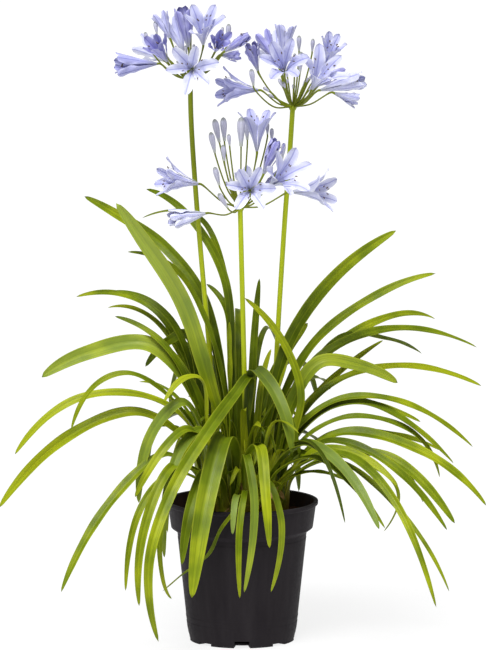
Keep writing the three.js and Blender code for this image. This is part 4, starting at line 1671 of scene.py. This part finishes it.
    def build(self) -> None:
        """Builds each fan as one piece."""
        tree, finish, dice = self.tree(), LeafFinish().material(), random.Random(self.seed)
        for fan in self.fans:
            layers = sorted(fan.leaves, key=lambda leaf: -max(point[1] for point in leaf.path))
            strands = []
            for layer, leaf in enumerate(layers):
                tone = leaf.tone + dice.uniform(-self.tone_scatter, self.tone_scatter)
                strands.append(self.strand(fan, leaf, layer, tone, self.rings, dice))
            strands += [self.strand(fan, leaf, 0, leaf.tone, self.rings, dice) for leaf in fan.thin]
            for leaf in self.young(fan, dice):
                layer = dice.uniform(0, len(layers) - 1)
                strands.append(self.strand(fan, leaf, layer, leaf.tone, self.young_rings, dice))
            mesh = tree.grow(fan.name, strand_mesh(fan.name, strands), Finish=finish)
            forget(mesh, "age", "heading", "width", "roll", "twist", "tip", "rings")
            settle(fan.name.replace("leaf_fan", "leaves"), outwards(mesh), Slot.LEAF, fan.name)


# ---- flower heads -----------------------------------------------------------------------------------


@dataclass(frozen=True)
class Bloom:
    """One open flower: its base and direction from the hub, its length, how open and how deep in colour."""

    base: Point
    axis: Point
    length: float
    openness: float
    finish: PetalFinish = PALE
    tone: float = 0.0


@dataclass(frozen=True)
class Bud:
    """One unopened bud: its base and direction from the hub, and its length."""

    base: Point
    axis: Point
    length: float


@dataclass(frozen=True)
class Head:
    """One flower stem with its head: the stem's route goes from its foot to the hub."""

    side: str
    route: tuple[Point, ...]
    blooms: tuple[Bloom, ...]
    buds: tuple[Bud, ...]
    spare: int


HEADS = (
    Head(
        "left",
        ((-26, 9, 148), (-37, 13, 330), (-44, 13, 410), (-53, 12, 519), (-58, 12, 600), (-59, 12, 645)),
        (
            Bloom((3, -36, 17), (-1, -28, 4), 48, 1),
            Bloom((15, -20, 43), (0, -24, 30), 50, 0.8, tone=0.2),
            Bloom((-2, -8, 39), (-6, -6, 42), 48, 0.3, VIOLET),
            Bloom((-23, 6, 47), (-13, 14, 28), 34, 0.45, tone=0.5),
            Bloom((-26, -24, 24), (-14, -26, 26), 42, 0.5, VIOLET),
            Bloom((-38, -14, 20), (-47, -6, 0), 50, 0.45, tone=0.8),
            Bloom((29, -28, 36), (6, -26, 14), 38, 0.6, VIOLET),
            Bloom((40, -10, 34), (26, -4, 18), 34, 0.05, VIOLET),
            Bloom((-30, 24, 20), (-22, 32, 12), 44, 0.7),
            Bloom((-8, 20, 30), (-13, 20, 30), 44, 0.5, tone=0.4),
            Bloom((36, 14, 27), (18, 20, -2), 28, 0.3, VIOLET),
        ),
        (
            Bud((-48, 4, 41), (-1, 0, 4), 14),
            Bud((-38, 12, 52), (-1, 1, 6), 14),
            Bud((36, 8, 51), (1, 1, 8), 9),
            Bud((43, 14, 44), (1, 2, 20), 19),
            Bud((1, 14, 68), (0, 1, 6), 12),
        ),
        spare=8,
    ),
    Head(
        "right",
        ((27, 13, 147), (36, 19, 260), (42, 23, 370), (49, 26, 482), (54, 27, 550), (58, 28, 612)),
        (
            Bloom((-40, -22, 22), (-48, -12, 4), 50, 0.7, tone=0.75),
            Bloom((-40, -2, 43), (-8, -12, 30), 36, 0.35, VIOLET),
            Bloom((-10, -34, 44), (-1, -26, 14), 50, 0.9, tone=0.3),
            Bloom((-11, 6, 55), (3, 4, 40), 42, 0.45, tone=0.5),
            Bloom((22, -36, 25), (16, -30, 32), 52, 0.9, tone=0.2),
            Bloom((36, -6, 46), (9, -18, 32), 44, 0.65, tone=0.3),
            Bloom((32, -20, 22), (49, -10, 12), 54, 0.3, tone=0.15),
            Bloom((48, 0, 16), (26, 4, -9), 30, 0.4, tone=0.3),
            Bloom((-19, 12, 52), (-15, 18, 25), 40, 0.45, VIOLET),
            Bloom((-14, 30, 44), (-6, 30, 14), 48, 0.8),
            Bloom((30, 34, 22), (14, 34, 12), 44, 0.6, VIOLET),
        ),
        (
            Bud((7, -14, 67), (0, -1, 12), 17),
            Bud((22, -10, 66), (1, -1, 14), 14),
            Bud((-45, -38, 30), (-2, -3, 15), 19),
            Bud((2, -28, 56), (0, -1, 6), 9),
            Bud((8, -26, 44), (1, -2, 22), 23),
        ),
        spare=15,
    ),
    Head(
        "middle",
        ((3, -1, 148), (4, -5, 244), (2, -9, 340), (0, -10, 420), (-1, -10, 460), (-2, -10, 501)),
        (
            Bloom((-48, -20, 30), (-45, -14, 9), 50, 0.7, tone=0.4),
            Bloom((-40, -28, -3), (-43, -18, -5), 46, 0.3),
            Bloom((11, -38, 25), (0, -28, 6), 46, 1),
            Bloom((19, -6, 66), (0, -6, 50), 50, 0.7, tone=0.45),
            Bloom((27, -20, 42), (16, -10, 37), 44, 0.15, VIOLET),
            Bloom((33, -36, 29), (22, -28, 20), 54, 1, tone=0.15),
            Bloom((58, -16, 20), (45, -16, 3), 53, 0.85, tone=0.1),
            Bloom((6, 34, 16), (4, 34, 8), 42, 0.7),
            Bloom((26, 26, 20), (22, 24, 12), 34, 0.3, VIOLET),
        ),
        (
            Bud((-29, -6, 65), (-3, 0, 15), 23),
            Bud((-24, 4, 76), (-3, 0, 14), 26),
            Bud((-18, 8, 77), (-1, 0, 20), 26),
            Bud((-12, -12, 73), (-1, 0, 12), 13),
            Bud((-18, -20, 57), (-1, -1, 12), 18),
            Bud((1, -24, 75), (0, -1, 12), 32),
            Bud((8, 12, 78), (-1, 0, 20), 24),
            Bud((36, 4, 77), (0, 0, 1), 14),
            Bud((31, 8, 84), (0, 0, 1), 13),
            Bud((-24, -24, 30), (-4, -2, 16), 21),
            Bud((48, -4, 58), (1, 0, 10), 17),
            Bud((-15, -30, 5), (-10, -4, 16), 19),
        ),
        spare=6,
    ),
)


@dataclass
class FlowerStems:
    """The bare stems with their hubs, stalks and buds, each one piece.

    Lengths are in millimetres and angles in degrees. A stalk's girth goes by its share of the way from the
    hub, and a bud's by its share of the way to the tip.
    """

    radius: float = 2.9
    bottom: float = 112
    straight: tuple[float, ...] = (142.1, 155.8)
    hub_radius: float = 4.6
    hub_from: float = -50
    hub_to: float = 90
    hub_rounds: int = 10
    hub_top: float = 0.05
    stalk_radius: float = 0.95
    stalk_end: float = 1.55
    stalk_girth: Table = ((0, 1.25), (0.12, 1.0), (0.75, 0.92))
    stalk_steps: int = 10
    stalk_root: float = 0.35
    stalk_sunk: float = 1.2
    rise: float = 0.5
    sag: float = 0.08
    drop: float = 0.11
    neck: float = 4
    bud_slimmest: float = 0.8
    bud_fattest: float = 4.6
    bud_growth: float = 0.12
    bud_rounds: int = 22
    bud_spacing: float = 0.8
    bud_sunk: float = 0.05
    bud_girth: Table = (
        (0.0, 0.42), (0.12, 0.48), (0.3, 0.68), (0.5, 0.9), (0.68, 1.0), (0.82, 0.93), (0.92, 0.68),
        (0.98, 0.36), (1.0, 0.05))
    spare_lean: Pair = (14, 66)
    spare_reach: Pair = (25, 40)
    spare_length: Pair = (5, 11)
    sides: int = 14
    seed: int = 6

    def tree(self) -> Growth:
        """Wraps paths in round skins, stalks and buds alike.

        Returns:
            the tree
        """
        g = Growth("stems and buds")
        sides = g.ask("Sides", self.sides, "NodeSocketInt")
        green = g.ask("Green", kind="NodeSocketMaterial")
        lilac = g.ask("Lilac", kind="NodeSocketMaterial")
        path, share = g.capture(g.curve(g.geometry), share=g.share())
        ring, turn = g.capture(g.ring(sides), turn=g.share())
        skin = g.smooth(g.tube(path, ring, g.attribute("girth")))
        bud = g.maths("GREATER_THAN", g.attribute("bud"), 0.5)
        return g.finish(g.mapped(skin, turn, share), (green, True), (lilac, bud))

    def skin_path(self, points: Sequence[Vector], girths: Sequence[float], bud: bool = False) -> Strand:
        """Makes a path with the girth of its skin.

        Args:
            points: the path, in millimetres
            girths: the skin's radius at each point, in millimetres
            bud: whether it is a bud

        Returns:
            the path
        """
        strand = Strand.even([point * MM for point in points], bud=float(bud))
        strand.values["girth"] = [girth * MM for girth in girths]
        return strand

    def scape(self, head: Head) -> Strand:
        """Lays out the bare stem, which swells to the hub at its top.

        Args:
            head: the head that it carries

        Returns:
            the stem's path
        """
        foot = Vector(head.route[0])
        low = [Vector((foot.x, foot.y, z)) for z in (self.bottom, *self.straight)]
        line = smooth_line([*low, *map(Vector, head.route[1:])])
        top, up = line[-1], (line[-1] - line[-2]).normalized()
        below = [point for point in line if (point - top).length > self.hub_radius]
        places = [k / self.hub_rounds for k in range(self.hub_rounds + 1)]
        angles = [math.radians(blend(self.hub_from, self.hub_to, place)) for place in places]
        hub = [top + up * self.hub_radius * math.sin(angle) for angle in angles]
        rounds = [max(self.hub_top, self.hub_radius * math.cos(angle)) for angle in angles]
        return self.skin_path([*below, *hub], [*([self.radius] * len(below)), *rounds])

    def stalk(self, hub: Vector, base: Vector, axis: Vector, end: float) -> Strand:
        """Bends a stalk up from low on the hub to meet a flower's base in line with it.

        Args:
            hub: the middle of the hub
            base: the flower's base
            axis: the direction that the flower faces
            end: the stalk's girth at the flower

        Returns:
            the stalk's path
        """
        span = (base - hub).length
        middle = hub.lerp(base, self.rise) - axis * span * self.sag - Vector((0, 0, span * self.drop))
        start = hub.lerp(base, self.stalk_root * self.hub_radius / span)
        line = smooth_line([start, middle, base - axis * self.neck, base], self.stalk_steps)
        line.append(base + axis * self.stalk_sunk)
        table = (*self.stalk_girth, (1.0, end / self.stalk_radius))
        return self.skin_path(line, [along_table(table, share) * self.stalk_radius for share in shares(line)])

    def bud(self, base: Vector, axis: Vector, length: float) -> Strand:
        """Lays out a club-shaped bud, a little sunk over its stalk.

        Args:
            base: where its stalk ends
            axis: the direction that it points in
            length: its length

        Returns:
            the bud's path
        """
        fattest = min(self.bud_fattest, self.bud_slimmest + length * self.bud_growth)
        places = [(k / self.bud_rounds) ** self.bud_spacing for k in range(self.bud_rounds + 1)]
        points = [base + axis * length * blend(-self.bud_sunk, 1, place) for place in places]
        girths = [fattest * along_table(self.bud_girth, place) for place in places]
        return self.skin_path(points, girths, True)

    def spare_buds(self, head: Head, dice: random.Random) -> list[Bud]:
        """Draws the small late buds that stand between a head's flowers.

        Args:
            head: the head
            dice: where the draws come from

        Returns:
            the buds
        """
        buds = []
        for _ in range(head.spare):
            lean, heading = math.radians(dice.uniform(*self.spare_lean)), dice.uniform(0, 360)
            out = around(math.sin(lean), heading, math.cos(lean))
            base = out * dice.uniform(*self.spare_reach)
            buds.append(Bud(tuple(base), tuple(out), dice.uniform(*self.spare_length)))
        return buds

    def build(self) -> None:
        """Builds each stem with its stalks and buds as one piece."""
        tree, green, lilac = self.tree(), StemFinish().material(), BudFinish().material()
        dice = random.Random(self.seed)
        for head in HEADS:
            hub = Vector(head.route[-1])
            strands = [self.scape(head)]
            for flower in (*head.blooms, *head.buds, *self.spare_buds(head, dice)):
                base, axis = hub + Vector(flower.base), Vector(flower.axis).normalized()
                is_bud = isinstance(flower, Bud)
                strands.append(self.stalk(hub, base, axis, self.stalk_radius if is_bud else self.stalk_end))
                if is_bud:
                    strands.append(self.bud(base, axis, flower.length))
            name = f"flower_stem_{head.side}"
            mesh = tree.grow(name, strand_mesh(name, strands), Green=green, Lilac=lilac)
            settle(f"stem_and_buds_{head.side}", outwards(forget(mesh, "bud")), Slot.STEM, name)


class Part(Enum):
    """What a strand of a bloom grows into, and the anther that is set on a filament."""

    PETAL = 0.0
    FILAMENT = 1.0
    STYLE = 2.0
    ANTHER = 3.0


@dataclass
class Blooms:
    """Trumpet flowers: six petals joined in a tube, six curved filaments with anthers, and a style.

    Paths are given as (radius, distance along the flower) for a flower of unit length: a petal's middle
    line for a closed and for a wide open flower, and a filament's with the share of the spread that it
    takes. Girths, thickness, crease and wave are in millimetres.
    """

    base_radius: float = 1.6
    closed: Path = ((0.11, 0.3), (0.13, 0.55), (0.1, 0.8), (0.04, 1.0))
    open: Path = ((0.11, 0.3), (0.24, 0.56), (0.42, 0.76), (0.6, 0.86))
    petals: int = 6
    petal_half: float = 0.148
    petal_thickness: float = 0.4
    petal_loose: Point = (0.04, 0.11, 0.08)
    inner_slimmer: float = 0.14
    throat_at: float = 0.30
    free_at: float = 0.62
    blunt_power: float = 9.0
    room: float = 1.25
    crease: float = 0.35
    crease_across: Ramp = (0.0, 0.4, 1.0, 0.0)
    cup: float = 0.10
    wave: float = 1.0
    waves_along: float = 19.0
    waves_across: float = 2.2
    rows: int = 30
    columns: int = 13
    least_radius: float = 0.5
    filament: Path = ((0.05, 0.16, 0.0), (0.055, 0.45, 0.3), (0.05, 0.68, 1.0), (0.04, 0.78, 1.1))
    filament_spread: Pair = (0.03, 0.14)
    filament_radius: float = 0.32
    filament_loose: Point = (0.1, 0.16, 0.12)
    style: Path = ((0, 0, 0.1), (0.01, 0.01, 0.5), (0.05, 0.03, 0.83))
    style_radius: float = 0.3
    steps: tuple[int, int, int] = (10, 6, 8)
    thread_sides: int = 6
    thread_girth: Ramp = (0.0, 1.0, 1.2, 0.6)
    anther: Pair = (0.75, 1.6)
    anther_sides: int = 8
    anther_rings: int = 6
    anther_lean: float = 0.9
    seed: int = 3

    def tree(self) -> Growth:
        """Grows a whole flower, its axis along +Z, from one path of each part.

        Returns:
            the tree
        """
        g = Growth("trumpet flower")
        width = g.ask("Petal Half Width", 0.005)
        wave = g.ask("Wave", self.wave * MM)
        seed = g.ask("Seed", self.seed, "NodeSocketInt")
        names = ("Petal", "Filament", "Anther")
        finishes = [g.ask(f"{name} Finish", kind="NodeSocketMaterial") for name in names]
        petal, threads = self.split(g, g.geometry, Part.FILAMENT)
        filament, style = self.split(g, threads, Part.STYLE)
        flower = g.joined(
            self.ringed(g, self.petal(g, petal, width, wave), seed, 0.0, self.petal_loose),
            self.ringed(g, self.tipped(g, filament), seed, 180 / self.petals, self.filament_loose),
            self.thread(g, style, self.style_radius),
        )
        threads, anthers = (
            g.maths("GREATER_THAN", g.attribute("part"), part.value - 0.5)
            for part in (Part.FILAMENT, Part.ANTHER)
        )
        return g.finish(flower, *zip(finishes, (True, threads, anthers)))

    def split(self, g: Growth, geometry: Feed, part: Part) -> tuple[Socket, Socket]:
        """Splits the paths before a part.

        Args:
            g: the tree
            geometry: the paths
            part: the first part of the second half

        Returns:
            the paths of the parts before it, and the others
        """
        before = g.maths("LESS_THAN", g.attribute("part"), part.value - 0.5)
        made = g.node("GeometryNodeSeparateGeometry", {"Geometry": geometry, "Selection": before})
        return made.outputs["Selection"], made.outputs["Inverted"]

    def petal(self, g: Growth, path: Feed, width: Feed, wave: Feed) -> Feed:
        """Wraps the petal's path in a thin sheet that is a sixth of the tube below and a blade above.

        Args:
            g: the tree
            path: the petal's middle line
            width: half the blade's width
            wave: how far its edges flutter

        Returns:
            the sheet
        """
        path = g.curve(path, self.rows)
        along, centre = g.share(), g.node("GeometryNodeInputPosition")
        radius, _, height = g.parts(centre)
        tangent_x, _, tangent_z = g.parts(g.node("GeometryNodeInputTangent"))
        face = g.combined(g.product(tangent_z, -1.0), 0.0, tangent_x)
        sector = g.product(radius, math.pi / self.petals)
        blunt = g.maths("SQRT", g.maths("SUBTRACT", 1.0, g.maths("POWER", along, self.blunt_power)))
        blade = g.maths("MINIMUM", g.product(width, blunt), g.product(sector, self.room))
        free = g.eased(along, self.throat_at, self.free_at)
        joined = g.product(sector, g.maths("SUBTRACT", 1.0, free))
        half = g.maths("MULTIPLY_ADD", blade, free, joined)
        path, along, radius, height, face, half, free = g.capture(
            path, along=along, radius=radius, height=height, face=face, half=half, free=free)
        strip = g.node("GeometryNodeCurvePrimitiveLine", {"Start": (-1.0, 0.0, 0.0), "End": (1.0, 0.0, 0.0)})
        strip = g.node("GeometryNodeResampleCurve", {"Curve": strip, "Count": self.columns}, mode="COUNT")
        strip, across = g.capture(strip, across=g.parts(g.node("GeometryNodeInputPosition"))[0])
        sheet = g.node("GeometryNodeCurveToMesh", {"Curve": path, "Profile Curve": strip})
        curl = g.maths("MAXIMUM", radius, self.least_radius * MM)
        angle = g.maths("DIVIDE", g.product(across, half), curl)
        x, y = (g.product(radius, g.maths(way, angle)) for way in ("COSINE", "SINE"))
        off = g.maths("ABSOLUTE", across)
        crease = g.product(g.eased(off, *self.crease_across), -self.crease * MM, free)
        cup = g.product(off, off, half, free, self.cup)
        flutter = g.product(across, self.waves_across)
        flutter = g.maths("MULTIPLY_ADD", along, self.waves_along, flutter)
        flutter = g.product(g.maths("SINE", flutter), wave, free, across, off)
        place = g.moved(g.combined(x, y, height), (face, g.total(crease, cup, flutter)))
        sheet = g.mapped(g.placed(sheet, place), g.maths("MULTIPLY_ADD", across, 0.5, 0.5), along)
        return g.smooth(sheet)

    def thread(self, g: Growth, path: Feed, radius: float) -> Node:
        """Wraps a filament's or style's path, which gets thinner to its end."""
        ring = g.ring(self.thread_sides, radius * MM)
        return g.smooth(g.tube(g.curve(path), ring, g.ranged(g.share(), *self.thread_girth)))

    def tipped(self, g: Growth, path: Feed) -> Node:
        """Wraps a filament's path and sets an anther across its end.

        Args:
            g: the tree
            path: the filament's path

        Returns:
            the filament with its anther
        """
        end = g.node("GeometryNodeCurveEndpointSelection", {"Start Size": 0, "End Size": 1})
        feeds = {"Segments": self.anther_sides, "Rings": self.anther_rings, "Radius": MM}
        pill = g.node("GeometryNodeMeshUVSphere", feeds)
        pill = g.store(g.smooth(pill), "part", Part.ANTHER.value)
        thick, long = self.anther
        feeds = {"Points": g.curve(path), "Selection": end, "Instance": pill,
                 "Rotation": (0.0, self.anther_lean, 0.0), "Scale": (thick, thick, long)}
        anther = g.node("GeometryNodeInstanceOnPoints", feeds)
        return g.joined(self.thread(g, path, self.filament_radius), anther)

    def ringed(self, g: Growth, thing: Feed, seed: Feed, first: float, loose: Point) -> Node:
        """Sets copies of a thing round the axis, each a little off its place, every other one slimmer.

        Args:
            g: the tree
            thing: what is copied
            seed: what the offsets are drawn from
            first: the heading of the first copy
            loose: how far a copy may turn about each axis, in radians

        Returns:
            the copies
        """
        index = g.node("GeometryNodeInputIndex").outputs[0]
        points = g.node("GeometryNodePoints", {"Count": self.petals})
        heading = g.maths("MULTIPLY_ADD", index, math.tau / self.petals, math.radians(first))
        drift = g.drawn(tuple(-angle for angle in loose), loose, ID=index, Seed=seed)
        rotation = g.vector("ADD", drift, g.combined(0.0, 0.0, heading))
        slim = g.maths("MULTIPLY_ADD", g.maths("MODULO", index, 2.0), -self.inner_slimmer, 1.0)
        size = g.combined(1.0, slim, 1.0)
        feeds = {"Points": points, "Instance": thing, "Rotation": rotation, "Scale": size}
        return g.node("GeometryNodeInstanceOnPoints", feeds)

    def strands(self, bloom: Bloom) -> list[Strand]:
        """Lays out one flower's paths, with its base at the origin.

        Args:
            bloom: the flower

        Returns:
            the paths of a petal, a filament and the style
        """
        petal = [Vector((self.base_radius / bloom.length, 0, 0))]
        for (r0, z0), (r1, z1) in zip(self.closed, self.open):
            petal.append(Vector((blend(r0, r1, bloom.openness), 0, blend(z0, z1, bloom.openness))))
        spread = blend(*self.filament_spread, bloom.openness)
        filament = [Vector((radius + spread * share, 0, height)) for radius, height, share in self.filament]
        style = [Vector(point) for point in self.style]
        strands = []
        for corners, steps, part in zip((petal, filament, style), self.steps, Part):
            line = smooth_line([corner * bloom.length for corner in corners], steps)
            strands.append(Strand.even([point * MM for point in line], part=part.value, tone=bloom.tone))
        return strands

    def build(self) -> None:
        """Builds each flower as one piece at the end of its stalk."""
        tree = self.tree()
        finishes = {finish: finish.material() for finish in (PALE, VIOLET)}
        filament, anther = FILAMENT.material(), ANTHER.material()
        slots = {PALE: Slot.PALE_PETAL, VIOLET: Slot.VIOLET_PETAL}
        for head in HEADS:
            hub = Vector(head.route[-1])
            for number, bloom in enumerate(head.blooms, 1):
                node = f"bloom_{head.side}_{number:02d}"
                mesh = tree.grow(
                    node, strand_mesh(node, self.strands(bloom)), Seed=self.seed + number,
                    Petal_Half_Width=self.petal_half * bloom.length * MM,
                    Petal_Finish=finishes[bloom.finish], Filament_Finish=filament, Anther_Finish=anther)
                self.thicken(forget(mesh, "part"))
                mesh.transform(self.stance(hub + Vector(bloom.base), Vector(bloom.axis)))
                settle(node.replace("bloom", "flower"), mesh, slots[bloom.finish], node)

    def thicken(self, mesh: Mesh) -> None:
        """Gives the petals their thickness, and leaves the closed filaments and anthers as they are.

        Args:
            mesh: the flower's mesh, which is changed
        """
        shape = bmesh.new()
        shape.from_mesh(mesh)
        sheets = [face for face in shape.faces if face.material_index == 0]
        fronts = {vert for face in sheets for vert in face.verts}
        back = bmesh.ops.duplicate(shape, geom=sheets)
        backs = [part for part in back["geom"] if isinstance(part, bmesh.types.BMFace)]
        bmesh.ops.reverse_faces(shape, faces=backs)
        shape.normal_update()
        twins = {one: other for one, other in back["vert_map"].items() if one in fronts}
        shifts = {front: front.normal * self.petal_thickness * MM / 2 for front in twins}
        uv = shape.loops.layers.uv.active
        for edge in [edge for edge in back["edge_map"] if edge.is_boundary and set(edge.verts) <= fronts]:
            loop = edge.link_loops[0]
            stop, start = loop.vert, edge.other_vert(loop.vert)
            known = {corner.vert: corner[uv].uv.copy() for corner in loop.face.loops}
            rim = shape.faces.new((start, stop, twins[stop], twins[start]))
            rim.smooth = True
            for corner, vert in zip(rim.loops, (start, stop, stop, start)):
                corner[uv].uv = known[vert]
        for front, shift in shifts.items():
            front.co += shift
            twins[front].co -= shift
        shape.to_mesh(mesh)
        shape.free()

    @staticmethod
    def stance(base: Vector, axis: Vector) -> Matrix:
        """Sets a flower on its base, facing along its axis.

        Args:
            base: the base, in millimetres
            axis: the direction that it faces

        Returns:
            the turn and move
        """
        along = axis.normalized()
        across = Vector((along.z, 0, -along.x)).normalized()
        turn = Matrix((across, along.cross(across), along)).transposed().to_4x4()
        return Matrix.Translation(base * MM) @ turn


# ---- studio -----------------------------------------------------------------------------------------


@dataclass
class Studio:
    """A plain pale floor, soft light all round, and the camera."""

    floor_half: float = 30.0
    floor_colour: Colour = (0.17, 0.17, 0.172)
    floor_shade: float = 0.985
    floor_grain: float = 3.0
    floor_glow: float = 0.83
    sky: Colour = (1.0, 1.0, 1.0)
    sky_strength: float = 0.27
    sun_strength: float = 3.8
    sun_softness: float = 30.0
    sun_from: Point = (-0.18, -0.72, 1.3)
    camera_place: Point = (0.005743, -7.0, 1.36911)
    camera_pitch: float = 8.165
    lens: float = 342.38
    sensor: float = 36.0
    sight: float = 200.0

    def floor(self) -> None:
        """Lays the floor."""
        mesh = bpy.data.meshes.new("floor")
        s = self.floor_half
        mesh.from_pydata([(-s, -s, 0), (s, -s, 0), (s, s, 0), (-s, s, 0)], [], [(0, 1, 2, 3)])
        paint = Paint("floor_paper", 0.9, Emission_Strength=self.floor_glow, Emission_Color=(*self.sky, 1.0))
        grain = paint.noise(paint.place(), self.floor_grain, 3.0)
        shade = tuple(self.floor_shade * part for part in self.floor_colour)
        mesh.materials.append(paint.coat(paint.mixed(grain, self.floor_colour, shade)))
        floor = shown("floor", mesh)

    def sun(self) -> None:
        """Hangs one large soft light high in front, to the left."""
        data = bpy.data.lights.new("key", "SUN")
        data.energy, data.angle = self.sun_strength, math.radians(self.sun_softness)
        shown("key", data).rotation_euler = Vector(self.sun_from).to_track_quat("Z", "Y").to_euler()

    def build(self) -> None:
        """Sets up the floor, the light and the camera."""
        scene = bpy.context.scene
        world = bpy.data.worlds.new("studio")
        world.use_nodes = True
        sky = world.node_tree.nodes["Background"]
        sky.inputs["Color"].default_value = (*self.sky, 1.0)
        sky.inputs["Strength"].default_value = self.sky_strength
        scene.world = world
        scene.view_settings.view_transform = "Standard"
        self.floor()
        self.sun()
        data = bpy.data.cameras.new("camera")
        data.sensor_fit, data.sensor_height, data.lens = "VERTICAL", self.sensor, self.lens
        data.clip_end = self.sight
        camera = shown("camera", data)
        camera.location = self.camera_place
        camera.rotation_euler = (math.radians(90 - self.camera_pitch), 0, 0)
        scene.camera = camera


def main() -> None:
    """Builds every piece around the solids."""
    logging.basicConfig(level=logging.INFO, format="%(name)s: %(message)s")
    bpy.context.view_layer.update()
    pot = Pot()
    pot.build()
    Soil().build(pot)
    Foliage().build()
    FlowerStems().build()
    Blooms().build()
    Studio().build()


if __name__ == "__main__":
    main()
